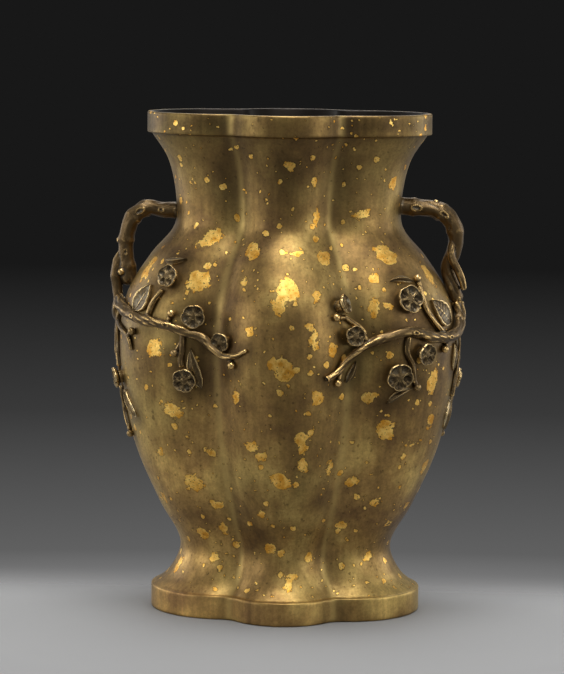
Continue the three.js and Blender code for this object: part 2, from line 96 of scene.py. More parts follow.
silhouette = smooth_path(SILHOUETTE, 150)


def half_width_at(z):
    return np.interp(z, silhouette[:, 1], silhouette[:, 0])


def bell(x, middle, spread):
    """1 at the middle, falling smoothly to nothing at about twice the spread."""
    return np.exp(-(((x - middle) / spread) ** 2))


def lobes_at(bearing, half_width, outset=0.0):
    """Distance from the axis to the skin at a bearing, and the gap between the lobes there: 0 in a groove."""
    scale = half_width / BELLY
    side_radius = SIDE_LOBE * scale
    side_x = half_width - side_radius
    cusp_x = CUSP_OFF_CENTRE * scale
    cusp_y = np.sqrt(side_radius**2 - (side_x - cusp_x) ** 2)
    sag = HALF_DEPTH * scale - cusp_y
    front_radius = (cusp_x**2 + sag**2) / (2 * sag)
    front_y = HALF_DEPTH * scale - front_radius
    turn = np.abs((np.asarray(bearing, float) + 180) % 360 - 180)
    turn = np.radians(np.where(turn > 90, 180 - turn, turn))
    side = side_x * np.sin(turn) + np.sqrt((side_radius + outset) ** 2 - (side_x * np.cos(turn)) ** 2)
    front_square = (front_radius + outset) ** 2 - (front_y * np.sin(turn)) ** 2
    front = front_y * np.cos(turn) + np.sqrt(np.maximum(front_square, 0))  # 0 where the ray misses it
    apart = np.abs(side - front)
    fillet = GROOVE_FILLET * scale
    run_out = np.maximum(fillet - apart, 0) / fillet
    return np.maximum(side, front) + run_out**2 * fillet / 4, apart


def skin_point(bearing, z, outset=0.0):
    radius = lobes_at(bearing, half_width_at(z), outset)[0]
    angle = np.radians(bearing)
    return np.stack(np.broadcast_arrays(radius * np.sin(angle), -radius * np.cos(angle), z), -1)


def skin_normal(bearing, z):
    across = skin_point(bearing + 2, z) - skin_point(bearing - 2, z)
    upward = skin_point(bearing, z + 1) - skin_point(bearing, z - 1)
    normal = np.cross(across, upward)
    return normal / np.linalg.norm(normal, axis=-1, keepdims=True)


def on_skin(place):
    bearing, z, lift = place
    return skin_point(bearing, z) + skin_normal(bearing, z) * lift


# Rings from the rim of the foot up the outside, over the lip and down the inside: height, half-width, outset,
# and 1 for the inside. A worn edge takes four rings: distance along one face and in from the other.
EDGE = [(0.0, 0.9), (0.06, 0.55), (0.3, 0.2), (0.9, 0.0)]
rings = [(drop, FOOT, -back, 0) for drop, back in EDGE]
rings += [(z, FOOT, 0, 0) for z in np.linspace(2, FOOT_BAND - 2, 8)]
rings += [(FOOT_BAND - drop, FOOT, -back, 0) for drop, back in EDGE[::-1]]
rings += [(z, w, 0, 0) for w, z in silhouette]
band_foot = HEIGHT - MOUTH_BAND
rings += [(band_foot + drop * 0.6, MOUTH, -back * 0.6, 0) for drop, back in EDGE]
rings += [(z, MOUTH, 0, 0) for z in np.linspace(band_foot + 2, HEIGHT - 2, 7)]
rings += [(HEIGHT - drop, MOUTH, -back, 0) for drop, back in EDGE[::-1]]
rings += [(HEIGHT - drop, MOUTH, -WALL + back, 1) for drop, back in EDGE]
slope = np.gradient(silhouette, axis=0)
slope /= np.linalg.norm(slope, axis=1, keepdims=True)
rings += [(HEIGHT - MOUTH_BAND / 2, MOUTH - MOUTH_LEDGE, -WALL, 1)]
for (w, z), (dw, dz) in list(zip(silhouette, slope))[-4:8:-3]:  # the inside needs only every third ring
    rings.append((z + WALL * dw, w, -WALL * dz, 1))
rings += [(PLATE_TOP + WALL, FOOT, -FOOT_RIM - PLATE_SEAT, 1), (PLATE_TOP, FOOT, -FOOT_RIM - PLATE_SEAT, 1)]
rings += [(PLATE_TOP, FOOT, -FOOT_RIM, 1), (0.4, FOOT, -FOOT_RIM, 1), (0, FOOT, -FOOT_RIM + 0.4, 1)]

# Bearings crowd together at the four grooves
AROUND, GROOVE_AT = 336, 33.6
turn = np.linspace(0, 90, 2000)
crowd = np.cumsum(1 + 2.2 * bell(turn, GROOVE_AT, 4))
quarter = np.interp(np.linspace(crowd[0], crowd[-1], AROUND // 4, endpoint=False), crowd, turn)
half = np.r_[quarter, 180 - np.r_[90, quarter[:0:-1]]]
bearings = np.r_[half, half + 180]


def level_ring(radius, z):
    """A ring of points at these distances from the axis, one for each bearing."""
    angle = np.radians(bearings)
    return np.column_stack([radius * np.sin(angle), -radius * np.cos(angle), np.full(AROUND, z)])


# The largest gilt splashes: bearing, height, width and height of each. The small ones are the finish's own.
SPLASHES = [
    (-49.3, 227.5, 9, 11), (-51.5, 224.5, 10, 5), (-45, 202, 11.5, 10), (-47, 204, 8, 9),
    (-18.8, 221.6, 8, 9.6), (2.2, 199.5, 13, 14), (-1, 192, 9, 11), (23.5, 217, 8, 9.6),
    (-75, 207.6, 7, 15), (2.6, 270.4, 6, 4.6), (6.6, 272.4, 5, 2.4), (-62, 260, 5, 4), (7, 220.3, 7, 1.7),
    (-20, 203.7, 4.6, 5), (16.2, 196.8, 4.6, 4.6), (18.2, 261.5, 3.4, 6), (21.5, 240.4, 3, 6),
    (58, 218.2, 11.6, 11.6), (76.4, 206.2, 7.6, 12), (44.8, 188.7, 6, 9), (49.4, 190, 4.6, 4.4),
    (47.3, 205.3, 5, 4.8), (70.8, 259.5, 6, 6.4), (53, 241.7, 8, 6.4), (12.1, 178.8, 4.6, 4.6),
    (-58.3, 162.5, 9.6, 10), (-52.5, 126, 10.4, 8), (-14.4, 175.6, 4.4, 4.8), (-21, 136.6, 3.6, 7),
    (68, 143.4, 8, 13), (50.4, 116.2, 9.6, 11), (42, 136.4, 8.6, 6.4), (16.2, 137.7, 6.6, 7.6),
    (14, 172, 5, 13), (23.6, 166, 4, 6.4), (70, 119.9, 4.4, 7), (63, 107, 8, 3.6), (-0.4, 158, 12, 9),
    (1, 151.6, 10, 8), (9.4, 114.4, 8.6, 7), (9.6, 109.6, 4, 8), (-13.6, 107.2, 8, 6), (-9.4, 102.8, 7, 5),
    (10.6, 97.4, 6, 8), (-0.6, 88, 9.6, 9), (2.6, 87, 6, 5), (-49.6, 82.6, 10, 9), (-62, 99.3, 4.8, 5),
    (-38.5, 101.4, 5, 5), (-41, 69.4, 7.6, 5), (-55.2, 50.4, 7.4, 7), (-41, 54, 4, 6), (40.4, 85.3, 5.4, 5),
    (25.9, 93.8, 5, 8), (76.4, 90, 6.4, 9), (53.6, 72, 5.4, 4), (68, 56.5, 7, 3.6), (41, 56.6, 5, 5),
    (-75.8, 27.4, 5.4, 7.6), (-50, 35, 6, 6), (-6.4, 44.6, 6.4, 6.4), (19.7, 37.3, 4.8, 6),
    (6.4, 28.4, 6, 3), (4.6, 23.4, 5.4, 4.6), (-11, 67.4, 4.6, 4), (62, 36, 7, 4.6), (-72, 70, 4, 7),
    (76, 66, 5, 4), (150, 205, 11, 12), (186, 176, 13, 15), (205, 222, 9, 8), (222, 152, 10, 11),
    (232, 196, 8, 11), (247, 118, 9, 12), (160, 128, 11, 9), (176, 108, 8, 11), (130, 172, 9, 11),
    (118, 132, 10, 8), (190, 70, 9, 8), (214, 88, 8, 10), (142, 84, 9, 8), (168, 240, 7, 8),
    (212, 256, 6, 7), (128, 236, 7, 8), (240, 60, 7, 6), (152, 44, 7, 7), (184, 266, 8, 4), (200, 40, 6, 6),
    (122, 92, 7, 9), (252, 226, 7, 8), (230, 30, 6, 6), (174, 30, 6, 4),
]

# Broad patches of painted light and shade, with some darker or paler patina: bearing, height, reach across
# and up, and how much (below 0 darker, above 0 paler)
LIGHT_AND_PATINA_PATCHES = [
    (0, 270, 14, 16, -0.6), (-42, 258, 11, 22, -0.6), (42, 262, 10, 16, -0.4), (0, 238, 12, 10, 0.15),
    (-56, 145, 26, 26, -0.3), (60, 158, 24, 22, -0.32), (60, 98, 22, 16, 0.3), (30, 140, 14, 20, -0.2),
    (-39, 118, 9, 24, 0.75), (-58, 84, 30, 20, 0.8), (37, 105, 7, 44, 0.7), (-12, 122, 22, 26, 0.35),
    (11, 84, 14, 20, -0.4), (-62, 6, 36, 12, 1.7), (62, 6, 30, 12, 0.2), (0, 6, 30, 12, 0.5),
    (56, 210, 18, 14, 0.5), (-70, 294, 60, 8, -0.9), (70, 294, 55, 8, -0.7), (-60, 40, 26, 16, 0.7),
    (58, 64, 18, 16, 0.4), (-50, 228, 20, 12, 0.3), (0, 294, 30, 8, -0.1), (-24, 66, 9, 26, -0.3),
    (180, 200, 40, 30, -0.25), (215, 110, 26, 34, 0.4), (145, 120, 24, 30, 0.35), (180, 84, 20, 20, -0.3),
    (222, 262, 14, 18, -0.4), (100, 170, 18, 40, -0.3), (262, 150, 18, 40, -0.3),
]
SPLASH_FAR, GROOVE_FAR = 6.0, 30  # the values of points with no splash or groove near them
skin_rings, skin_values = [], {"splash": [], "groove": [], "inside": [], "shade": []}
for z, half_width, outset, inside in rings:
    radius, apart = lobes_at(bearings, half_width, outset)
    groove = np.minimum(apart * BELLY / half_width, GROOVE_FAR)
    splash, shade = np.full(AROUND, SPLASH_FAR), np.zeros(AROUND)
    for b, height, wide, high in () if inside else SPLASHES:
        across = np.radians((bearings - b + 180) % 360 - 180) * radius
        share = np.hypot(across / (wide / 2), (z - height) / (high / 2))
        splash = np.minimum(splash, (share - 1) * min(wide, high) / 2)
    # Painted light and shade, with some patina, from the patches
    for b, height, wide, high, much in LIGHT_AND_PATINA_PATCHES:
        across = np.radians((bearings - b + 180) % 360 - 180) * radius
        shade += much * bell(across, 0, wide) * bell(z, height, high)
    skin_rings.append(level_ring(radius, z))
    for layer, values in zip(skin_values, (splash, groove, np.full(AROUND, inside), shade)):
        skin_values[layer].append(values)


def ring_faces(count, around, closed):
    """The quads between rings of equal length, facing outward when the rings run anticlockwise and up."""
    low, side = np.meshgrid(np.arange(count if closed else count - 1), np.arange(around), indexing="ij")
    high, turned = (low + 1) % count, (side + 1) % around
    quad = [low * around + side, low * around + turned, high * around + turned, high * around + side]
    return np.stack(quad, -1).reshape(-1, 4)


def closed_tube(count, around):
    """Faces of a tube of rings that is closed by two more points, its first end and its last."""
    first, top = count * around, (count - 1) * around
    faces = ring_faces(count, around, False).tolist()
    faces += [(first, (i + 1) % around, i) for i in range(around)]
    return faces + [(first + 1, top + i, top + (i + 1) % around) for i in range(around)]


def give_values(mesh, layers):
    """Gives the mesh's points named values, which the finishes read."""
    for layer, values in layers.items():
        mesh.attributes.new(layer, "FLOAT", "POINT").data.foreach_set("value", np.asarray(values, np.float32))


def mesh_piece(name, points, faces, finish, layers={}):
    """An object at the origin from points in millimetres, smooth shaded, with named values for its points."""
    mesh = bpy.data.meshes.new(name)
    mesh.from_pydata((np.asarray(points) * MM).tolist(), [], [list(f) for f in faces])
    give_values(mesh, layers)
    mesh.polygons.foreach_set("use_smooth", [True] * len(mesh.polygons))
    mesh.materials.append(finish)
    mesh.validate()
    piece = bpy.data.objects.new(name, mesh)
    bpy.context.scene.collection.objects.link(piece)
    return piece


def linear(code):
    """An sRGB hex colour as linear RGBA."""
    share = [int(code[i:i + 2], 16) / 255 for i in (1, 3, 5)]
    return [s / 12.92 if s <= 0.04045 else ((s + 0.055) / 1.055) ** 2.4 for s in share] + [1]


def feed(node, inputs):
    """Gives a node's inputs values or links, from a dict by socket or a tuple in the sockets' order. A node
    given as an input stands for its first output."""
    for key, value in inputs.items() if isinstance(inputs, dict) else enumerate(inputs):
        if isinstance(value, bpy.types.Node):
            value = value.outputs[0]
        if isinstance(value, bpy.types.NodeSocket):
            node.id_data.links.new(value, node.inputs[key])
        else:
            node.inputs[key].default_value = value


def add_node(tree, kind, inputs=(), **settings):
    """A new node. In order, a MapRange takes a value, its range's two ends and those of the range it goes to,
    a MixRGB takes the second colour's share and both colours, and a Math its values."""
    node = tree.nodes.new(kind if "Node" in kind else "ShaderNode" + kind)
    for key, value in settings.items():
        setattr(node, key, value)
    feed(node, inputs)
    return node


SMOOTH = {"interpolation_type": "SMOOTHSTEP"}  # a MapRange that eases out of one end and into the other


def metal_finish(name):
    """A new metal: its tree, its shader and the object's own coordinates."""
    metal = bpy.data.materials.new(name)
    metal.use_nodes = True
    tree = metal.node_tree
    shader = tree.nodes["Principled BSDF"]
    shader.inputs["Metallic"].default_value = 1
    return metal, tree, shader, add_node(tree, "TexCoord").outputs["Object"]


def per_mm(size):
    """The scale of a pattern that repeats about every so many millimetres."""
    return 1 / (size * MM)


# Gold-splashed bronze: a brown chemical patina, clouded over a few centimetres and wiped vertically, with
# broad patches of painted light and shade, a pale groove line that is part rubbed metal and part painted
# highlight, painted shade beside the grooves, under the mouth band, round the sprigs and inside, and gilt
# splashes that keep ragged edges, pits and a thin dark border.
gilt_bronze, tree, shader, place = metal_finish("gold_splashed_bronze")
clouds = add_node(tree, "TexNoise", {"Vector": place, "Scale": per_mm(46), "Detail": 4, "Roughness": 0.62})
tone = add_node(tree, "ValToRGB", (clouds,))
dark_end, pale_end = tone.color_ramp.elements
dark_end.position, dark_end.color = 0.34, linear("#6F5534")
pale_end.position, pale_end.color = 0.66, linear("#BFA25F")
tone.color_ramp.elements.new(0.5).color = linear("#997B47")
# The patches of painted light and shade, partly patina, scale the patina's tone
shade = add_node(tree, "Attribute", attribute_name="shade").outputs["Fac"]
painted_light_factor = add_node(tree, "MapRange", (shade, -0.7, 1.5, 0.36, 2.3))
clouded = add_node(tree, "MixRGB", (1, tone, painted_light_factor), blend_type="MULTIPLY")
# Wiping marks, about 2 mm wide and 40 mm long
stretch = add_node(tree, "Mapping", {"Vector": place, "Scale": (1, 1, 0.05)})
wiped = add_node(tree, "TexNoise", {"Vector": stretch, "Scale": per_mm(2.4), "Detail": 3})
wipe_tone = add_node(tree, "MapRange", (wiped, 0.3, 0.7, 0.84, 1.12))
broad = add_node(tree, "Mapping", {"Vector": place, "Scale": (1, 1, 0.22)})
streak = add_node(tree, "TexNoise", {"Vector": broad, "Scale": per_mm(11), "Detail": 3})
streak_tone = add_node(tree, "MapRange", (streak, 0.3, 0.7, 0.8, 1.2))
freckle = add_node(tree, "TexNoise", {"Vector": place, "Scale": per_mm(1.6), "Detail": 5, "Roughness": 0.7})
freckle_tone = add_node(tree, "MapRange", (freckle, 0.3, 0.62, 0.72, 1.06))
dapple = add_node(tree, "Math", (wipe_tone, freckle_tone), operation="MULTIPLY")
streaked = add_node(tree, "Math", (dapple, streak_tone), operation="MULTIPLY")
patina = add_node(tree, "MixRGB", (1, clouded, streaked), blend_type="MULTIPLY")
# The grooves: a pale line, part rubbed metal and part painted highlight, with painted shade on the flank each
# side
groove = add_node(tree, "Attribute", attribute_name="groove").outputs["Fac"]
groove_painted_shade = add_node(tree, "MapRange", (groove, 4, 18, 0.3, 0), **SMOOTH)
shaded = add_node(tree, "MixRGB", (groove_painted_shade, patina, linear("#5C4C33")))
groove_wear_and_highlight = add_node(tree, "MapRange", (groove, 0.2, 5.5, 0.8, 0), **SMOOTH)
broken_wear_and_highlight = add_node(tree, "Math", (groove_wear_and_highlight, clouds), operation="MULTIPLY")
rubbed = add_node(tree, "MixRGB", (broken_wear_and_highlight, shaded, linear("#BCA262")))
# The neck below the mouth band is darker than the belly: painted shade under the band
split = add_node(tree, "SeparateXYZ", {"Vector": place})
neck = add_node(tree, "MapRange", (split.outputs["Z"], 225 * MM, 262 * MM, 0, 0.3), **SMOOTH)
band = add_node(tree, "Math", (split.outputs["Z"], (HEIGHT - MOUTH_BAND - 0.2) * MM), operation="LESS_THAN")
painted_neck_shade = add_node(tree, "Math", (neck, band), operation="MULTIPLY")
body_tone = add_node(tree, "MixRGB", (painted_neck_shade, rubbed, linear("#5E4B31")))

# Close to the sprigs the vessel is darkened: painted contact shadow round the boughs, twigs, blossoms and
# leaves
near = add_node(tree, "Attribute", attribute_name="near").outputs["Fac"]
sprig_shadow = add_node(tree, "MapRange", (near, 0.5, 11, 0.62, 0), **SMOOTH)
sprig_shadowed_tone = add_node(tree, "MixRGB", (sprig_shadow, body_tone, linear("#3B2C19")))

# Ragged edges: the large splashes' distance field and the small flecks' cells are both pushed about by noise
ragged = add_node(tree, "TexNoise", {"Vector": place, "Scale": per_mm(5.4), "Detail": 5, "Roughness": 0.66})
push = add_node(tree, "MapRange", (ragged, 0.3, 0.7, -2.2, 1.9))
splash = add_node(tree, "Attribute", attribute_name="splash").outputs["Fac"]
edge = add_node(tree, "Math", (splash, push), operation="ADD")
warp = add_node(tree, "TexNoise", {"Vector": place, "Scale": per_mm(3), "Detail": 3})
warp_mm = add_node(tree, "VectorMath", (warp.outputs["Color"], (0.5, 0.5, 0.5)), operation="SUBTRACT")
warp_by = add_node(tree, "VectorMath", {0: warp_mm, "Scale": 3.4 * MM}, operation="SCALE")
warped = add_node(tree, "VectorMath", (place, warp_by), operation="ADD")
edges = [edge]  # in millimetres, below 0 on the gold
for spacing, most, least in ((9, 2.3, 0.3), (4.8, 0.85, 0.1)):  # of the flecks, and their radii
    cell = add_node(tree, "TexVoronoi", {"Vector": warped, "Scale": per_mm(spacing)})
    away = add_node(tree, "Math", (cell.outputs["Distance"], float(spacing)), operation="MULTIPLY")
    chance = add_node(tree, "SeparateColor", {"Color": cell.outputs["Color"]})
    size = add_node(tree, "MapRange", (chance.outputs["Red"], 0.0, 1.0, least, most))
    edges.append(add_node(tree, "Math", (away, size), operation="SUBTRACT"))
nearest = add_node(tree, "Math", (edges[0], edges[1]), operation="MINIMUM")
nearest = add_node(tree, "Math", (nearest, edges[2]), operation="MINIMUM")
# No gilding on the foot band or inside
inside = add_node(tree, "Attribute", attribute_name="inside").outputs["Fac"]
low = add_node(tree, "MapRange", (split.outputs["Z"], (FOOT_BAND + 0.2) * MM, (FOOT_BAND + 0.8) * MM, 4, 0))
kept = add_node(tree, "Math", (inside, 9.0, low), operation="MULTIPLY_ADD")
field = add_node(tree, "Math", (nearest, kept), operation="ADD")
gilt = add_node(tree, "MapRange", (field, -0.12, 0.06, 1, 0))
pits = add_node(tree, "TexNoise", {"Vector": place, "Scale": per_mm(1.1), "Detail": 2})
sound = add_node(tree, "MapRange", (pits, 0.31, 0.38, 0, 1))
gold = add_node(tree, "Math", (gilt, sound), operation="MULTIPLY")
border = add_node(tree, "MapRange", (field, 0.0, 0.6, 0.7, 0))
bordered = add_node(tree, "MixRGB", (border, sprig_shadowed_tone, linear("#33240F")))
rub = add_node(tree, "MapRange", (ragged, 0.36, 0.6, 0, 1))
gold_tone = add_node(tree, "MixRGB", (rub, linear("#D79A38"), linear("#FFD676")))
gilded = add_node(tree, "MixRGB", (gold, bordered, gold_tone))
# The inside is painted near black: painted shade within the vessel
tone_with_inside_shade = add_node(tree, "MixRGB", (inside, gilded, linear("#17120D")))
bare = add_node(tree, "MapRange", (gold, 0, 1, 0.82, 1))
matt = add_node(tree, "MapRange", (freckle, 0.3, 0.7, 0.48, 0.34))
glossed = add_node(tree, "MapRange", (gold, 0, 1, 0, 0.02))
rough = add_node(tree, "Math", (matt, glossed), operation="ADD")
# Filing left the surface a little uneven over a centimetre, with fine casting grain
uneven = add_node(tree, "TexNoise", {"Vector": place, "Scale": per_mm(17), "Detail": 2})
rise = add_node(tree, "Math", (uneven, 0.5), operation="MULTIPLY")
grain = add_node(tree, "Math", (freckle, 0.05, rise), operation="MULTIPLY_ADD")
raised = add_node(tree, "Math", (gold, 0.05, grain), operation="MULTIPLY_ADD")
bump = add_node(tree, "Bump", {"Height": raised, "Strength": 0.6, "Distance": MM})
feed(shader, {"Base Color": tone_with_inside_shade, "Metallic": bare, "Roughness": rough, "Normal": bump})

body = mesh_piece(
    "vase_body_cast", np.vstack(skin_rings), ring_faces(len(rings), AROUND, True), gilt_bronze,
    {layer: np.concatenate(values) for layer, values in skin_values.items()},
)
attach(body, "root")
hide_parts("vase_body")

# ---------------------------------------------------------------------------------------------------
# The base plate: a flat bronze casting of the foot's plan, let into the foot from below and soldered to
# the seat behind the rim. It is rougher than the vessel, since nobody sees it.
PLATE_BOTTOM, PLATE_THICK, PLATE_FIT, PLATE_EDGE = 5, 3, 0.3, 0.6
plate_plan, _ = lobes_at(bearings, FOOT, -FOOT_RIM - PLATE_FIT)
levels = [(0, 0.5), (0, 0.99), (PLATE_EDGE, 1)]  # height above its underside, and share of its plan
levels += [(PLATE_THICK - z, share) for z, share in levels[::-1]]
plate_rings = [level_ring(plate_plan * share, PLATE_BOTTOM + z) for z, share in levels]
middles = [(0, 0, PLATE_BOTTOM), (0, 0, PLATE_BOTTOM + PLATE_THICK)]

# Sand-cast bronze: dull dark brown with a coarse grain
sand_bronze, tree, shader, place = metal_finish("sand_cast_bronze")
sand = add_node(tree, "TexNoise", {"Vector": place, "Scale": per_mm(1.2), "Detail": 4})
sand_tone = add_node(tree, "MixRGB", (sand, linear("#3A2E1E"), linear("#6A5536")))
sand_bump = add_node(tree, "Bump", {"Height": sand, "Strength": 0.7, "Distance": 0.4 * MM})
feed(shader, {"Base Color": sand_tone, "Roughness": 0.6, "Normal": sand_bump})

plate_points = np.vstack(plate_rings + [middles])
plate = mesh_piece("foot_plate_cast", plate_points, closed_tube(len(levels), AROUND), sand_bronze)
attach(plate, "root")
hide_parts("foot_plate")

# ---------------------------------------------------------------------------------------------------
# The two handles: gnarled prunus branches cast in the round, with knots, a broken snag and a side limb.
# Each grows out of the neck and is brazed to the shoulder. Bark ridges run along them.
LEFT_ROOT, LEFT_REACH, LEFT_THICK = 240.5, 98.2, 4.7
RIGHT_ROOT, RIGHT_REACH, RIGHT_THICK = 244.8, 100.7, 4.9
ROOT_SINK = 3
BARK_PITCH = 0.6  # spacing of the rings of a branch


def branch(points, radii, knots=(), seed=0, sides=28, bark=0.1, eyes=(), cut=False):
    """Points and faces of a closed branch with sharp furrows. A knot is (place, size, spread). An eye is a
    ringed scar: (place, 1 on the front or -1 on the back, width). The tip is round, or sawn off."""
    chance = np.random.default_rng(seed)
    length = np.linalg.norm(np.diff(smooth_path(points, 60), axis=0), axis=1).sum()
    count = max(10, int(length / BARK_PITCH))
    path = smooth_path(points, count)
    along, run = np.linspace(0, 1, count), np.linspace(0, length, count)
    ahead = np.gradient(path, axis=0)
    ahead /= np.linalg.norm(ahead, axis=1, keepdims=True)
    side = np.cross(ahead[0], [0.0, 0.0, 1.0] if abs(ahead[0][2]) < 0.9 else [0.0, 1.0, 0.0])
    frames = []
    for d in ahead:
        side = side - d * side.dot(d)
        side /= np.linalg.norm(side)
        frames.append((side, np.cross(d, side)))
    around = np.linspace(0, 2 * np.pi, sides, endpoint=False)
    radius = np.interp(along, np.linspace(0, 1, len(radii)), radii)
    for at, size, spread in knots:
        radius = radius + size * bell(along, at, spread)
    grain = np.zeros((count, sides))
    for furrows, share in ((3, 0.6), (4, 0.45), (7, 0.25)):
        wander = chance.uniform(0, 6.3) + 0.02 * run * chance.uniform(-1, 1)
        for wave in (15, 31, 67):
            wander = wander + 0.011 * wave * np.sin(2 * np.pi * (run / wave + chance.uniform()))
        grain += share * (2 * np.abs(np.cos(furrows * (around[None] + wander[:, None]) / 2)) ** 0.7 - 1.45)
    grain *= (0.75 + 0.35 * np.sin(run / 9 + chance.uniform(0, 6)))[:, None]
    full = radius[:, None] * (1 + bark * grain)
    for at, face, width in eyes:
        first, second = frames[int(at * (count - 1))]
        turned = around - math.atan2(-face * second[1], -face * first[1])
        turned = (turned + np.pi) % (2 * np.pi) - np.pi
        far = np.hypot((run[:, None] - at * length) / width, turned[None] * radius[:, None] / width * 1.8)
        full = full + 0.5 * bell(far, 1, 0.26) - 0.75 * bell(far, 0, 0.6)
    tip = radius[-1]
    for end, is_cut in ((run, False), (length - run, cut)):
        if is_cut:
            full = full + 0.3 * bell(end, 0, 0.8)[:, None]
        else:
            near = np.clip(end / (0.9 * tip), 0, 1)
            full = full * (np.sqrt(1 - (1 - near) ** 2) * 0.98 + 0.02)[:, None]
    rings = [
        c + np.cos(around)[:, None] * f[:, None] * s + np.sin(around)[:, None] * f[:, None] * u
        for c, f, (s, u) in zip(path, full, frames)
    ]
    if cut:  # the sawn face is a little hollow inside its raised rim
        for inward, sink in ((0.72, 0.1), (0.45, 0.6)):
            rings.append((rings[count - 1] - path[-1]) * inward + path[-1] - ahead[-1] * sink)
    ends = [path[0], path[-1] - ahead[-1] * (0.7 if cut else 0)]
    return np.vstack(rings + [ends]), closed_tube(len(rings), sides)


def ball(centre, radius):
    """Points and faces of a bud."""
    shape = bmesh.new()
    bmesh.ops.create_uvsphere(shape, u_segments=16, v_segments=10, radius=radius)
    points = np.array([v.co for v in shape.verts]) + centre
    faces = [[v.index for v in f.verts] for f in shape.faces]
    shape.free()
    return points, faces


def of_points(mesh, what):
    """The places ("co") or normals ("normal") of a mesh's points, as rows."""
    rows = np.empty(len(mesh.vertices) * 3)
    mesh.vertices.foreach_get(what, rows)
    return rows.reshape(-1, 3)


def relief_of(mesh):
    """How far each point stands proud of its smoothed surroundings: ridges above 0, hollows below."""
    spans = {4: 3.0, 22: 0.3}  # after how many rounds of smoothing that is measured, and how much each counts
    count, points, normals = len(mesh.vertices), of_points(mesh, "co") / MM, of_points(mesh, "normal")
    edges = np.empty(len(mesh.edges) * 2, int)
    mesh.edges.foreach_get("vertices", edges)
    a, b = edges.reshape(-1, 2).T
    links = np.maximum(np.bincount(np.r_[a, b], minlength=count), 1)[:, None]
    soft, relief = points, np.zeros(count)
    for step in range(1, max(spans) + 1):
        total = np.zeros_like(soft)
        for k in range(3):
            total[:, k] = np.bincount(a, soft[b, k], count) + np.bincount(b, soft[a, k], count)
        soft = total / links
        if step in spans:
            relief += spans[step] * ((points - soft) * normals).sum(1)
    return relief


def cast_piece(name, parts, finish, voxel):
    """Branch parts run together into one casting, as they are in the wax, and finished."""
    points = np.vstack([p for p, _ in parts])
    starts = np.cumsum([0] + [len(p) for p, _ in parts[:-1]])
    faces = [[v + s for v in f] for s, (_, some) in zip(starts, parts) for f in some]
    piece = mesh_piece(name, points, faces, finish)
    fuse = piece.modifiers.new("fuse", "REMESH")
    fuse.mode, fuse.voxel_size, fuse.use_smooth_shade = "VOXEL", voxel * MM, True
    settle = piece.modifiers.new("settle", "SMOOTH")
    settle.factor, settle.iterations = 0.5, 1
    return finished(piece)


def made_plain(piece):
    """The piece's new mesh, with its modifiers made part of it."""
    made = bpy.data.meshes.new_from_object(piece.evaluated_get(bpy.context.evaluated_depsgraph_get()))
    piece.modifiers.clear()
    piece.data = made
    return made


def finished(piece):
    """The piece with a plain mesh, and its relief and its height off the skin measured for the finish."""
    finish = piece.data.materials[0]
    made = made_plain(piece)
    made.name = piece.name
    if not made.materials:
        made.materials.append(finish)
    made.polygons.foreach_set("use_smooth", [True] * len(made.polygons))
    points = of_points(made, "co") / MM
    bearing = np.degrees(np.arctan2(points[:, 0], -points[:, 1]))
    lift = np.hypot(points[:, 0], points[:, 1]) - lobes_at(bearing, half_width_at(points[:, 2]))[0]
    give_values(made, {"relief": relief_of(made), "lift": np.clip(lift, -5, 20)})
    return piece


def sprig_finish(name, hollow, face, ridge, residue, roughness, polish):
    """Patinated bronze whose ridges are rubbed bright and whose hollows and seats keep a pale residue."""
    metal, tree, shader, place = metal_finish(name)
    relief = add_node(tree, "Attribute", attribute_name="relief").outputs["Fac"]
    lift = add_node(tree, "Attribute", attribute_name="lift").outputs["Fac"]
    cloud = add_node(tree, "TexNoise", {"Vector": place, "Scale": per_mm(7), "Detail": 4, "Roughness": 0.6})
    fine = add_node(tree, "TexNoise", {"Vector": place, "Scale": per_mm(0.9), "Detail": 3})
    base = add_node(tree, "MixRGB", (cloud, linear(hollow), linear(face)))
    jitter = add_node(tree, "Math", (fine, 0.16, relief), operation="MULTIPLY_ADD")
    worn = add_node(tree, "MapRange", (jitter, 0.27, 0.5, 0, 0.95), **SMOOTH)
    rubbed = add_node(tree, "MixRGB", (worn, base, linear(ridge)))
    sunk = add_node(tree, "MapRange", (jitter, -0.2, 0.14, 0.75, 0), **SMOOTH)
    darker = add_node(tree, "MixRGB", (sunk, rubbed, linear("#241B12")))
    seat = add_node(tree, "MapRange", (lift, 0.2, 2.2, 1, 0), **SMOOTH)
    patchy = add_node(tree, "MapRange", (cloud, 0.45, 0.62, 0.04, 0.8))
    caught = add_node(tree, "Math", (sunk, 0.35, seat), operation="MULTIPLY_ADD", use_clamp=True)
    ashy = add_node(tree, "Math", (caught, patchy), operation="MULTIPLY")
    dusted = add_node(tree, "MixRGB", (ashy, darker, linear(residue)))
    gloss = add_node(tree, "MapRange", (worn, 0, 0.9, roughness, polish))
    bump = add_node(tree, "Bump", {"Height": fine, "Strength": 0.5, "Distance": 0.22 * MM})
    feed(shader, {"Base Color": dusted, "Metallic": 0.86, "Roughness": gloss, "Normal": bump})
    return metal


# Dark bronze: the branches' bark is chased, left dark brown, and rubbed to bare metal along its ridges
bark_bronze = sprig_finish("bark_bronze", "#463722", "#755F3E", "#D6B273", "#ADA999", 0.4, 0.24)


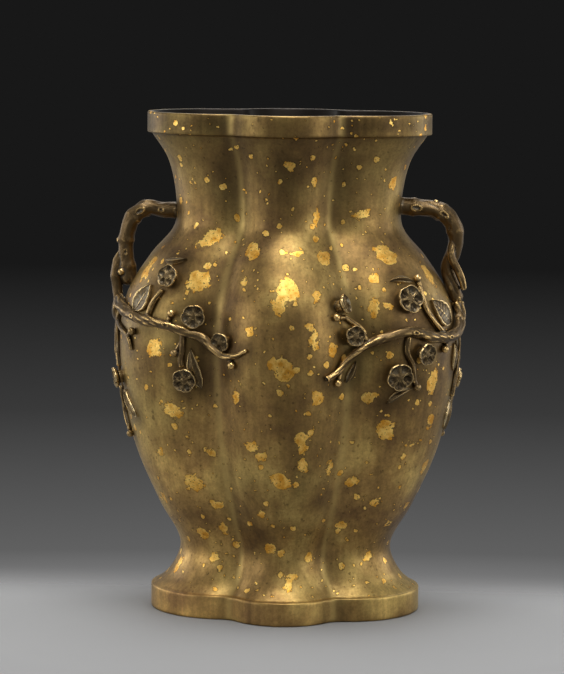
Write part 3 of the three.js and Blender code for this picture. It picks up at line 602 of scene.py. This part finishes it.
def left_handle():
    def at(out, down, forward):
        return (-(LEFT_REACH + out), -forward, LEFT_ROOT - down)
    loop = branch(
        [on_skin((-90, LEFT_ROOT, -ROOT_SINK)), at(-22.6, 0, 0), at(-14.5, -1.2, 0.5), at(-8.5, 0.9, 1),
         at(-4.2, 5.4, 1), at(-1.6, 12, 0.5), at(-0.2, 20, 0), at(-0.4, 28, 0), at(-1.2, 35, 0),
         on_skin((-90, LEFT_ROOT - 46, 0))],
        np.array([1.1, 1, 0.96, 1, 1.04, 0.98, 0.94, 1, 1.1, 1.2]) * LEFT_THICK,
        [(0.3, 0.5, 0.04), (0.42, 0.7, 0.03), (0.62, 0.7, 0.03), (0.84, 0.5, 0.03)], 3, 48, 0.08,
        [(0.35, 1, 2.7), (0.17, 1, 1.7), (0.3, -1, 2.6), (0.66, -1, 2.2), (0.72, 1, 1.6)],
    )
    limb = branch(
        [at(0.8, 24, 0), at(4.4, 31, 0.5), at(5.6, 39, 1), at(4.8, 47, 1), on_skin((-89, LEFT_ROOT - 57, 3))],
        np.array([0.5, 0.66, 0.7, 0.68, 0.66]) * LEFT_THICK, [(0.5, 0.4, 0.08)], 4, bark=0.13,
    )
    stump = [at(0, 19, 0), at(3, 18.4, 0.4), at(5.4, 17.6, 0.8)]
    snag = branch(stump, np.array([0.6, 0.5]) * LEFT_THICK, seed=5)
    bud = ball(np.array(at(2.2, 37.5, 4)), 2.3)
    return [loop, limb, snag, bud]


def right_handle():
    def at(out, down, forward):
        return (RIGHT_REACH + out, -forward, RIGHT_ROOT - down)
    loop = branch(
        [on_skin((90, RIGHT_ROOT, -ROOT_SINK)), at(-22, 1, 0), at(-12.3, 2.1, 0.6), at(-5.7, 5.8, 1),
         at(-1.5, 11.8, 0.6), at(-0.2, 20, 0), at(-1.6, 28, -1), at(-4.6, 36, -1.5),
         on_skin((90, RIGHT_ROOT - 47, 4.4)), on_skin((90, RIGHT_ROOT - 59, 4.2))],
        np.array([1.14, 1, 1, 1.06, 1, 0.94, 0.9, 0.86, 0.86, 0.84]) * RIGHT_THICK,
        [(0.12, 0.7, 0.03), (0.31, 0.8, 0.03), (0.48, 0.6, 0.03), (0.88, 0.4, 0.03)], 6, 48, 0.1,
        [(0.14, 1, 3.1), (0.34, 1, 2.3), (0.22, -1, 2.6), (0.52, -1, 2.3), (0.6, 1, 1.8)],
    )
    twig = branch(
        [at(-2, 20, 1.6), at(-3, 29, 4.2), at(1.2, 38, 5), at(4, 45, 4), at(5, 50, 3)],
        np.array([0.46, 0.5, 0.48, 0.46, 0.34]) * RIGHT_THICK, seed=7, bark=0.2,
    )
    stump = [at(-12, 3, 0), at(-12.6, -1.6, 1), at(-13.4, -4, 1.6)]
    snag = branch(stump, np.array([0.55, 0.4]) * RIGHT_THICK, seed=8)
    return [loop, twig, snag]


for node, parts in (("left_handle", left_handle()), ("right_handle", right_handle())):
    handle = cast_piece(node + "_branch", parts, bark_bronze, 0.4)
    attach(handle, "root")
    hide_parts(node)

# ---------------------------------------------------------------------------------------------------
# The boughs and twigs: at the foot of each handle a bough lies across the lobe, bridges the groove and
# ends on the front lobe, with forks and round buds. Thin twigs hang from it. All are cast on the wax and
# chased. Each stretch is a list of places on the skin: bearing, height, lift. The back has the same ones.
BOUGH, TWIG, BUD = 2.9, 1.5, 2.3
LEFT_BOUGH = {
    "route": [(-88, 186, 3.2), (-80, 183, 2.6), (-66, 178.6, 2), (-55, 177, 2), (-45.5, 172.8, 2.2),
              (-39.5, 170, 3.2), (-33.5, 164, 5), (-27, 160.4, 2.6), (-20.5, 161.4, 1.6), (-14.8, 165, 1.4)],
    "taper": [1.15, 1.1, 1.05, 1, 0.95, 0.9, 0.8, 0.62, 0.42],
    "knots": [(0.2, 0.5, 0.03), (0.4, 0.4, 0.03), (0.72, 0.5, 0.04)],
    "forks": [([(-62, 179, 1), (-60.6, 188, 1.6), (-58.4, 196.6, 1.2)], [0.62, 0.52])],
    "buds": [((-53, 178, 1), (-51.7, 183.2, 2.2)), ((-25, 160.6, 1), (-22.6, 155.4, 1.6))],
}
RIGHT_BOUGH = {
    "route": [(90, 187, 3.5), (88.2, 178.6, 3.4), (82.4, 172, 3.2), (75, 169.4, 2.6), (65.4, 170.6, 2.1),
              (56.5, 174.4, 2), (49.5, 172.4, 2), (41.5, 168, 3), (36.5, 163.6, 4.6), (30.5, 158.8, 3.4),
              (25, 152, 1.8), (19.8, 148.4, 1.4)],
    "taper": [1.26, 1.22, 1.14, 1.05, 1.05, 1.1, 1, 0.95, 0.85, 0.75, 0.6, 0.56],
    "knots": [(0.24, 0.4, 0.03), (0.44, 0.5, 0.03), (0.7, 0.5, 0.03)],
    "forks": [([(72.5, 171, 1.4), (67.6, 178.6, 1.6), (64.6, 187, 1.6), (65.4, 200, 1.2)], [0.68, 0.46]),
              ([(39, 166, 2), (39.6, 175, 1.6), (34, 181, 1.6), (29.6, 184.6, 1.2)], [0.56, 0.46])],
    "spurs": [([(41.5, 168, 2.6), (39.6, 172.6, 2.6), (37.4, 176, 2)], [0.55, 0.5, 0.25])],
    "buds": [((75, 168, 1), (72.6, 162.2, 1.6)), ((65.4, 199, 1.2), (65.8, 203.8, 1.8)),
             ((31, 183, 1.2), (25, 183.6, 1.8)), ((29, 156, 1), (26.2, 145.6, 1.4))],
    "sawn": True,
}
LEFT_TWIGS = {
    "hanging_twig": {
        "route": [(-46.8, 173, 1), (-46.9, 163, 1.3), (-47.4, 157, 1.3), (-47.2, 151.8, 1.2)],
        "taper": [1.2, 1.1, 1], "buds": [((-46.8, 168, 1), (-49.6, 160.4, 1.6))],
    },
    "side_twig": {
        "route": [(-85, 184, 1), (-86.5, 174, 1.4), (-86.5, 160, 1.4), (-85, 146, 1.2)],
        "taper": [1.2, 1.1, 1],
        "forks": [([(-86.5, 173, 1), (-79, 171, 1.4), (-71.5, 166.4, 1.4), (-69.6, 159, 1)], [1.1, 0.8])],
        "buds": [((-72.6, 167, 1), (-69, 170.6, 1.8))],
    },
    "side_shoot": {
        "route": [(-86, 135, 1), (-87, 126, 1.2), (-86, 116, 1.2), (-83.6, 109, 1.2)], "taper": [1.1, 0.9],
        "buds": [((-84, 110.4, 1.2), (-82.6, 106.4, 1.6))],
    },
}
RIGHT_TWIGS = {
    "hanging_twig": {
        "route": [(56, 172, 1), (55.2, 163, 1.4), (57.2, 155.6, 1.6), (58.8, 144, 1.2)],
        "taper": [1.2, 1.1, 0.9], "buds": [((58.6, 146, 1), (60, 141.6, 1.6))],
    },
    "side_twig": {
        "route": [(87.4, 172, 1), (88, 160, 1.4), (88, 146, 1.4), (86.6, 130.6, 1.2)], "taper": [1.2, 1.1, 1],
    },
}
# Corner, whether it is on the back, and the places of its bough and twigs
CORNERS = [
    ("front_left", False, LEFT_BOUGH, LEFT_TWIGS), ("front_right", False, RIGHT_BOUGH, RIGHT_TWIGS),
    ("back_right", True, LEFT_BOUGH, LEFT_TWIGS), ("back_left", True, RIGHT_BOUGH, RIGHT_TWIGS),
]


def limbs(plan, thick, seed, behind):
    """The parts of one bough or twig with its forks and buds, turned half round when it is on the back."""
    def turned(place):
        return on_skin((place[0] + 180 * behind, place[1], place[2]))
    main, taper = [turned(p) for p in plan["route"]], np.array(plan["taper"]) * thick
    eyes = [(share, face, 1.7) for share in (0.3, 0.52) for face in (1, -1)] if thick == BOUGH else ()
    parts = [branch(main, taper, plan.get("knots", ()), seed, 30, 0.22, eyes, "sawn" in plan)]
    for i, (route, taper) in enumerate(plan.get("forks", []) + plan.get("spurs", [])):
        fork = [turned(p) for p in route]
        parts.append(branch(fork, np.array(taper) * thick, seed=seed + 11 + i, sides=20, bark=0.16))
    for i, (root, tip) in enumerate(plan.get("buds", ())):
        stalk = [turned(root), turned(tip)]
        parts.append(branch(stalk, [0.6 * BUD, 0.5 * BUD], seed=seed + 21 + i, sides=14))
        parts.append(ball(turned(tip), BUD))
    return parts


for number, (corner, behind, bough, twigs) in enumerate(CORNERS):
    plans = [("bough", bough, BOUGH, 0.4)] + [(name, plan, TWIG, 0.32) for name, plan in twigs.items()]
    for i, (name, plan, thick, voxel) in enumerate(plans):
        node = f"{corner}_{name}"
        stem = cast_piece(node + "_cast", limbs(plan, thick, 40 * number + 5 * i, behind), bark_bronze, voxel)
        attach(stem, "root")
        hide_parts(node)

# ---------------------------------------------------------------------------------------------------
# The blossoms: open five-petalled prunus flowers, each cast separately, with cupped petals, a rolled rim
# and a ring of stamens round the pistil. They are pinned to the skin beside the boughs.
# Name, radius, place on the skin, turn, tilt and the axis that it tilts about.
LEFT_BLOSSOMS = [
    ("blossom_1", 7, (-57.4, 203.2, 1), 18, 6, 0), ("blossom_2", 7.2, (-43.3, 182.4, 1.4), -20, 10, 20),
    ("blossom_3", 5.9, (-28.8, 168.8, 1.2), 40, 20, 60), ("blossom_4", 7.4, (-45.8, 145.2, 1.2), 0, 4, 0),
    ("side_blossom", 6.4, (-83.5, 140.6, 1), 10, 5, 0),
]
RIGHT_BLOSSOMS = [
    ("blossom_1", 8.4, (57.6, 192.6, 1.2), 0, 5, 0), ("blossom_2", 6.2, (28.6, 190, 1.4), 30, 26, 110),
    ("blossom_3", 6.2, (34.8, 172.6, 2.6), 12, 6, 90), ("blossom_4", 8.4, (52.2, 149, 1.2), -15, 4, 0),
    ("blossom_5", 6.8, (61.8, 161.2, 1.2), 24, 8, 40),
]
RELIEF, SCALLOP, CUP, CALYX, FLOWER_BACK = 4.2, 0.12, 1.5, 0.66, -3.4
PETALS, STAMENS, FILAMENT, BEAD = 5, 15, 0.13, 0.28

# Rubbed bronze: the flowers and leaves are handled most, so their rims are bright and their cups stay dark
petal_bronze = sprig_finish("petal_bronze", "#4A3C28", "#7A6644", "#CFB27C", "#A9A28C", 0.4, 0.26)


def seated(points, place, turn, tilt, tilt_axis, behind):
    """Points of a piece made flat at the origin, set on the skin: its own z outward and y up the vessel."""
    bearing, z, lift = place
    bearing = bearing + 180 * behind
    normal = skin_normal(bearing, z)
    upward = np.array([0, 0, 1.0]) - normal * normal[2]
    upward /= np.linalg.norm(upward)
    across = np.cross(upward, normal)
    a, lean, axis = math.radians(turn), math.radians(tilt), math.radians(tilt_axis)
    spin = np.array([[math.cos(a), -math.sin(a), 0], [math.sin(a), math.cos(a), 0], [0, 0, 1]])
    k = np.array([math.cos(axis), math.sin(axis), 0])
    cross = np.array([[0, -k[2], k[1]], [k[2], 0, -k[0]], [-k[1], k[0], 0]])
    tip = np.eye(3) + math.sin(lean) * cross + (1 - math.cos(lean)) * cross @ cross
    return (points @ spin.T @ tip.T) @ np.stack([across, upward, normal]) + on_skin((bearing, z, lift))


def flower_disc(radius, seed):
    """Points and faces of a flower flat at the origin: five hollow petals within a thin raised rim, parted by
    ridges that meet in the middle, on a narrower calyx."""
    chance = np.random.default_rng(seed)
    around, shares = 130, np.r_[0.04:0.86:26j, 0.89, 0.915, 0.935, 0.95, 0.965, 0.98, 0.992, 1.0]
    angle = np.linspace(0, 2 * np.pi, around, endpoint=False)
    petal = np.floor(angle / (2 * np.pi / PETALS) + 0.5).astype(int) % PETALS
    # 0 on a petal's axis, 1 between petals
    within = np.abs((angle * PETALS / (2 * np.pi) + 0.5) % 1 - 0.5) * 2
    reach = chance.uniform(-0.035, 0.035, PETALS)[petal] * (1 - within**2)
    edge = radius * (1 - SCALLOP * (1 - np.cos(within * np.pi / 2) ** 0.6) + reach)
    for waves in (7, 12):
        edge += radius * 0.008 * np.sin(angle * waves + chance.uniform(0, 6))
    lean = chance.uniform(-0.25, 0.25, PETALS)[petal] * (1 - within**2)
    dimpled = chance.uniform(0.25, 0.75)
    deep = CUP * radius / 7 * chance.uniform(0.85, 1.2, PETALS)[petal]
    rings = []
    for share in shares:
        from_ridge = share * radius * np.sin((1 - within) * np.pi / PETALS) + 0.01
        from_rim = max(0.92 - share, 0) * radius + 0.01
        from_middle = max(share * radius - 0.5, 0) + 0.01
        scoop = (from_ridge**-2 + from_rim**-2 + from_middle**-2) ** -0.5
        across = share * np.sin(within * np.pi / PETALS) / 0.27
        outward = (share * np.cos(within * np.pi / PETALS) - 0.57) / 0.33
        dimple = np.clip(1 - (outward**2 + across**2), 0, 1)
        hollow = dimpled * dimple * 1.1 + (1 - dimpled) * (1 - bell(scoop, 0, 1))
        rim = 0.4 * bell(share, 0.945, 0.05) - 0.7 * max(0, share - 0.965) / 0.035
        parting, pleats = 0.5 * within**4 * bell(share, 0.6, 0.3), 0.09 * np.cos(within * np.pi * 4.5)
        face = rim - parting + pleats * bell(share, 0.6, 0.28)
        rings.append((share, RELIEF - 0.35 - deep * hollow + lean * share + face))
    calyx = ((1.4, 0.985), (2.1, 0.9), (2.7, CALYX), (3.6, CALYX * 0.9), (RELIEF - FLOWER_BACK, CALYX * 0.95))
    rings += [(share, np.zeros(around) + RELIEF - drop + lean * (drop < 2.5)) for drop, share in calyx]
    ends = [(0, 0, rings[0][1].mean() + 0.1), (0, 0, FLOWER_BACK)]
    x, y = edge * np.cos(angle), edge * np.sin(angle)
    rings = [np.column_stack([share * x, share * y, height]) for share, height in rings]
    # These rings run inward and down, so their faces are turned over
    return np.vstack(rings + [ends]), [face[::-1] for face in closed_tube(len(rings), around)]


def stamen_tree():
    """Geometry nodes that add a ring of stamens to a flower: each a thin filament with a bead at its end."""
    tree = bpy.data.node_groups.new("stamens", "GeometryNodeTree")
    kinds = {"Geometry": "Geometry", "Count": "Int", "Reach": "Float", "Height": "Float", "Bead": "Float",
             "Seed": "Int", "Finish": "Material"}
    for name, kind in kinds.items():
        tree.interface.new_socket(name, in_out="INPUT", socket_type="NodeSocket" + kind)
    tree.interface.new_socket("Geometry", in_out="OUTPUT", socket_type="NodeSocketGeometry")
    given = add_node(tree, "NodeGroupInput").outputs
    ring = add_node(tree, "GeometryNodeMeshCircle", {"Vertices": given["Count"], "Radius": given["Reach"]})
    least, most = 2, 3  # the sockets of a random number's limits
    uneven = add_node(
        tree, "FunctionNodeRandomValue", {"Seed": given["Seed"], least: 0.68, most: 1.12}, data_type="FLOAT",
    )
    spot = add_node(tree, "GeometryNodeInputPosition")
    spread = add_node(tree, "VectorMath", {0: spot, "Scale": uneven.outputs[1]}, operation="SCALE")
    up = add_node(tree, "CombineXYZ", {"Z": given["Height"]})
    stood = add_node(tree, "VectorMath", (spread, up), operation="ADD")
    placed = add_node(tree, "GeometryNodeSetPosition", {"Geometry": ring, "Position": stood})
    bead = add_node(tree, "GeometryNodeMeshIcoSphere", {"Radius": given["Bead"], "Subdivisions": 2})
    beads = add_node(tree, "GeometryNodeInstanceOnPoints", {"Points": placed, "Instance": bead})
    rod = add_node(
        tree, "GeometryNodeMeshCylinder", {"Vertices": 6, "Radius": FILAMENT * MM, "Depth": given["Reach"]},
    )
    laid = add_node(tree, "GeometryNodeTransform", {"Geometry": rod, "Rotation": (0, math.pi / 2, 0)})
    half = add_node(tree, "VectorMath", {0: spread, "Scale": 0.5}, operation="SCALE")
    midway = add_node(tree, "VectorMath", (half, up), operation="ADD")
    rod_place = add_node(tree, "GeometryNodeSetPosition", {"Geometry": ring, "Position": midway})
    heading = add_node(tree, "FunctionNodeAlignRotationToVector", {"Vector": spot}, axis="X")
    rods = add_node(
        tree, "GeometryNodeInstanceOnPoints", {"Points": rod_place, "Instance": laid, "Rotation": heading},
    )
    join = add_node(tree, "GeometryNodeJoinGeometry")
    for part in (rods, beads, given["Geometry"]):
        feed(join, (part,))
    real = add_node(tree, "GeometryNodeRealizeInstances", {"Geometry": join})
    coated = add_node(tree, "GeometryNodeSetMaterial", {"Geometry": real, "Material": given["Finish"]})
    add_node(tree, "NodeGroupOutput", (coated,))
    return tree


stamens = stamen_tree()


def set_inputs(modifier, **values):
    """Gives a modifier's inputs their values by socket identifier."""
    for item in modifier.node_group.interface.items_tree:
        if item.in_out == "INPUT" and item.name in values:
            modifier[item.identifier] = values[item.name]


for number, (corner, behind, _, _) in enumerate(CORNERS):
    blossoms = RIGHT_BLOSSOMS if number % 2 else LEFT_BLOSSOMS
    for i, (name, radius, at, turn, tilt, axis) in enumerate(blossoms):
        node, seed = f"{corner}_{name}", 100 * number + i
        points, faces = flower_disc(radius, seed)
        flower = mesh_piece(node + "_petals", points, faces, petal_bronze)
        ring = flower.modifiers.new("stamens", "NODES")
        ring.node_group = stamens
        set_inputs(
            ring, Count=STAMENS, Reach=radius * 0.4 * MM, Height=(RELIEF - 0.25 - 0.9 * CUP) * MM,
            Bead=BEAD * MM, Seed=seed, Finish=petal_bronze,
        )
        made = made_plain(flower)
        points = seated(of_points(made, "co") / MM, at, turn, tilt, axis, behind)
        made.vertices.foreach_set("co", (points * MM).ravel())
        made.update()
        finished(flower)
        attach(flower, "root")
        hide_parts(node)

# ---------------------------------------------------------------------------------------------------
# The leaves: thin cast blades with a midrib, side veins and a rolled, uneven edge, soldered along the skin.
# Narrow ones are rolled to a ridge. Name, length, width, place on the skin, turn, sideways bend, vein depth.
LEFT_LEAVES = [
    ("leaf_1", 19, 14.4, (-67.4, 190.2), -26, 1.5, 0.25), ("leaf_2", 15.5, 5.2, (-59.6, 213), -82, 1, 0.2),
    ("leaf_3", 25, 8, (-42.4, 151.4), 14, -1.5, 0.3), ("side_leaf", 20, 5.4, (-75.6, 125.6), 40, -1.6, 0.3),
]
RIGHT_LEAVES = [
    ("leaf_1", 23, 15, (73.8, 184), 50, -1, 0.8), ("leaf_2", 16, 5, (58.4, 203.6), 86, 1.7, 0.2),
    ("leaf_3", 14, 5.6, (34.5, 151.4), -26, 1, 0.3), ("leaf_4", 18, 5, (53.4, 137.4), -60, -1.6, 0.2),
    ("side_leaf", 17, 8, (82.6, 156), 4, 1, 0.6), ("side_leaf_2", 18, 6.4, (85.4, 120.4), -6, -1, 0.6),
]
LEAF_RELIEF, LEAF_SINK = 2.9, 1


def leaf_blade(length, width, place, turn, bend, veined, behind, seed):
    """Points and faces of a leaf that follows the skin: a closed blade, veined on its face."""
    chance = np.random.default_rng(seed)
    stations, across = 84, np.linspace(-1, 1, 31)
    rolled = np.clip((9 - width) / 2, 0, 1)
    bearing, z = place[0] + 180 * behind, place[1]
    degree = np.linalg.norm(skin_point(bearing + 1, z) - skin_point(bearing - 1, z)) / 2
    rise = np.linalg.norm(skin_point(bearing, z + 1) - skin_point(bearing, z - 1)) / 2
    a = math.radians(turn)
    rows = []
    for i in range(stations):
        u = 0.5 - 0.5 * math.cos(math.pi * (0.02 + 0.96 * i / (stations - 1)))
        half = width / 2 * (0.08 + 0.92 * math.sin(math.pi * u**0.8)) * min(1, 1.1 - abs(2 * u - 1) ** 6)
        half *= 1 + 0.03 * math.sin(u * 31 + seed) + 0.012 * math.sin(u * 83)
        v = np.abs(across)
        vein = np.abs(np.sin((u * (4 + length / 6) - v * 1.3) * math.pi)) ** 0.6
        cupped = 0.42 + 0.58 * v**2 + 0.16 * bell(v, 0.84, 0.15) + 0.13 * bell(v, 0, 0.1)
        cupped += 0.22 * veined * vein * (1 - v**3) * math.sin(math.pi * u)
        ridged = 1 - 0.62 * v**2 + 0.22 * bell(across, 0.15, 0.22) - 0.2 * bell(across, -0.5, 0.16)
        height = LEAF_RELIEF * (0.5 + 0.4 * math.sin(math.pi * u)) * (rolled * ridged + (1 - rolled) * cupped)
        height = height * np.where(v > 0.96, 0.8, 1) + chance.normal(0, 0.035, len(across))
        local_x = np.r_[across, across[::-1] * 0.94] * half + bend * (4 * u * (1 - u) - 0.5)
        local_y = (u - 0.5) * length
        lift = np.r_[height, np.full(len(across), -LEAF_SINK)]
        b = bearing + (local_x * math.cos(a) - local_y * math.sin(a)) / degree
        h = z + (local_x * math.sin(a) + local_y * math.cos(a)) / rise
        rows.append(skin_point(b, h) + skin_normal(b, h) * lift[:, None])
    points = np.vstack(rows + [[rows[0].mean(0), rows[-1].mean(0)]])
    return points, closed_tube(stations, 2 * len(across))


for number, (corner, behind, _, _) in enumerate(CORNERS):
    for i, (name, *form) in enumerate(RIGHT_LEAVES if number % 2 else LEFT_LEAVES):
        node = f"{corner}_{name}"
        points, faces = leaf_blade(*form, behind, 300 + 20 * number + i)
        leaf = finished(mesh_piece(node + "_blade", points, faces, petal_bronze))
        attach(leaf, "root")
        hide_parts(node)

# How far each point of the vessel is from the nearest sprig, for the painted shadow round the sprigs
SPRIG_FAR = 30
kinds = ("_branch", "_cast", "_petals", "_blade")
sprigs = [o for o in bpy.context.scene.objects if o.name.endswith(kinds) and o not in (body, plate)]
tops = np.vstack([of_points(piece.data, "co")[::9] for piece in sprigs])
nearest = KDTree(len(tops))
for i, top in enumerate(tops):
    nearest.insert(top, i)
nearest.balance()
away = [min(nearest.find(v.co)[2] / MM, SPRIG_FAR) for v in body.data.vertices]
give_values(body.data, {"near": away})

# ---------------------------------------------------------------------------------------------------
# The stage: a pale floor that fades into a dark studio, soft lights, and the photograph's camera.
# The floor's radius and where it fades into the backdrop, behind the vase and at its rim, in metres
FLOOR, FADE_BEHIND, FADE_RIM = 0.34, (0.0, 0.11), (0.2, 0.33)
floor_mesh = bpy.data.meshes.new("floor")
disc = bmesh.new()
bmesh.ops.create_circle(disc, cap_ends=True, segments=128, radius=FLOOR)
disc.to_mesh(floor_mesh)
disc.free()
floor = bpy.data.objects.new("floor", floor_mesh)
bpy.context.scene.collection.objects.link(floor)
floor.location.z = -0.0002
paper = bpy.data.materials.new("pale_paper")
paper.use_nodes = True
tree = paper.node_tree
where = add_node(tree, "TexCoord").outputs["Object"]
out = add_node(tree, "SeparateXYZ", {"Vector": where})
fade = add_node(tree, "MapRange", (out.outputs["Y"], *FADE_BEHIND, 1, 0), **SMOOTH)
reach = add_node(tree, "VectorMath", (where,), operation="LENGTH")
rim = add_node(tree, "MapRange", (reach.outputs["Value"], *FADE_RIM, 1, 0), **SMOOTH)
seen = add_node(tree, "Math", (fade, rim), operation="MULTIPLY")
looks = {"Base Color": linear("#898989"), "Roughness": 0.8, "Specular IOR Level": 0.1, "Alpha": seen}
feed(tree.nodes["Principled BSDF"], looks)
floor_mesh.materials.append(paper)

# The backdrop is nearly black, greys towards a soft horizon and is as pale as the floor below it. What the
# metal reflects instead is the soft grey of the studio, brighter on both sides, most of all on the left.
world = bpy.data.worlds.new("studio")
world.use_nodes = True
bpy.context.scene.world = world
tree = world.node_tree
backdrop = tree.nodes["Background"]
aim = add_node(tree, "TexCoord").outputs["Generated"]
rise = add_node(tree, "SeparateXYZ", {"Vector": aim})
drop = add_node(tree, "MapRange", (rise.outputs["Z"], -0.09, -0.23, 0, 1))
dusk = add_node(tree, "ValToRGB", (drop,))
dusk.color_ramp.elements[0].color = linear("#181818")
dusk.color_ramp.elements[1].color = linear("#A6A6A6")
for at, tone in ((0.36, "#393939"), (0.707, "#606060"), (0.78, "#7A7A7A"), (0.84, "#9F9F9F")):
    dusk.color_ramp.elements.new(at).color = linear(tone)
feed(backdrop, {"Color": dusk})
leftward = add_node(tree, "VectorMath", (aim, (-1.0, 0.0, 0.0)), operation="DOT_PRODUCT")
turned = add_node(tree, "MapRange", (leftward.outputs["Value"], -1, 1, 0, 1))
glow = add_node(tree, "ValToRGB", (turned,))
glow.color_ramp.elements[0].color = linear("#A2A2A2")
glow.color_ramp.elements[1].color = linear("#B6B6B6")
glow.color_ramp.elements.new(0.5).color = linear("#6A6A6A")
studio = add_node(tree, "Background", {"Color": glow})
seen = add_node(tree, "LightPath").outputs["Is Camera Ray"]
both = add_node(tree, "MixShader", (seen, studio, backdrop))
feed(tree.nodes["World Output"], {"Surface": both})
bpy.context.scene.view_settings.view_transform = "Standard"

# Name, place, aim height, size and watts of each soft light
LIGHTS = [
    ("key_above", (0.03, -0.85, 1.2), 0.2, 0.5, 3),
    ("overhead", (0, -0.1, 1.4), 0.15, 0.8, 20),
    ("high_right", (0.6, -0.7, 1.0), 0.2, 0.4, 1.5),
    ("panel_left", (-1.3, -0.6, 0.4), 0.16, 0.6, 3),
    ("panel_right", (1.3, -0.6, 0.4), 0.16, 0.6, 3),
    ("rim_left", (-1.1, 0.45, 0.35), 0.15, 0.7, 3),
    ("rim_right", (1.1, 0.45, 0.35), 0.15, 0.7, 3),
    ("back_above", (0.0, 1.0, 1.2), 0.2, 0.8, 5),
]
for name, place, aim_height, size, watts in LIGHTS:
    lamp = bpy.data.lights.new(name, "AREA")
    lamp.shape, lamp.size, lamp.energy = "SQUARE", size, watts
    holder = bpy.data.objects.new(name, lamp)
    bpy.context.scene.collection.objects.link(holder)
    holder.visible_camera = False
    holder.location = place
    holder.rotation_euler = (Vector((0, 0, aim_height)) - Vector(place)).to_track_quat("-Z", "Y").to_euler()

# The camera stands 1.7 m off and 0.36 m up, a little to the right, and leans by half a degree
CAMERA_OFF, CAMERA_UP, CAMERA_TURN, CAMERA_ROLL = 1.70293, 0.36163, 2.523, 0.614
CAMERA_AIM, SENSOR, LENS = (-0.0033, 0, 0.1645), 36, 151.65
camera = bpy.data.objects.new("camera", bpy.data.cameras.new("camera"))
bpy.context.scene.collection.objects.link(camera)
turn = math.radians(CAMERA_TURN)
camera.location = (CAMERA_OFF * math.sin(turn), -CAMERA_OFF * math.cos(turn), CAMERA_UP)
sight = (Vector(CAMERA_AIM) - camera.location).to_track_quat("-Z", "Y")
camera.rotation_euler = sight.to_euler()
camera.rotation_euler.rotate_axis("Z", math.radians(CAMERA_ROLL))
camera.data.sensor_width, camera.data.lens = SENSOR, LENS
bpy.context.scene.camera = camera
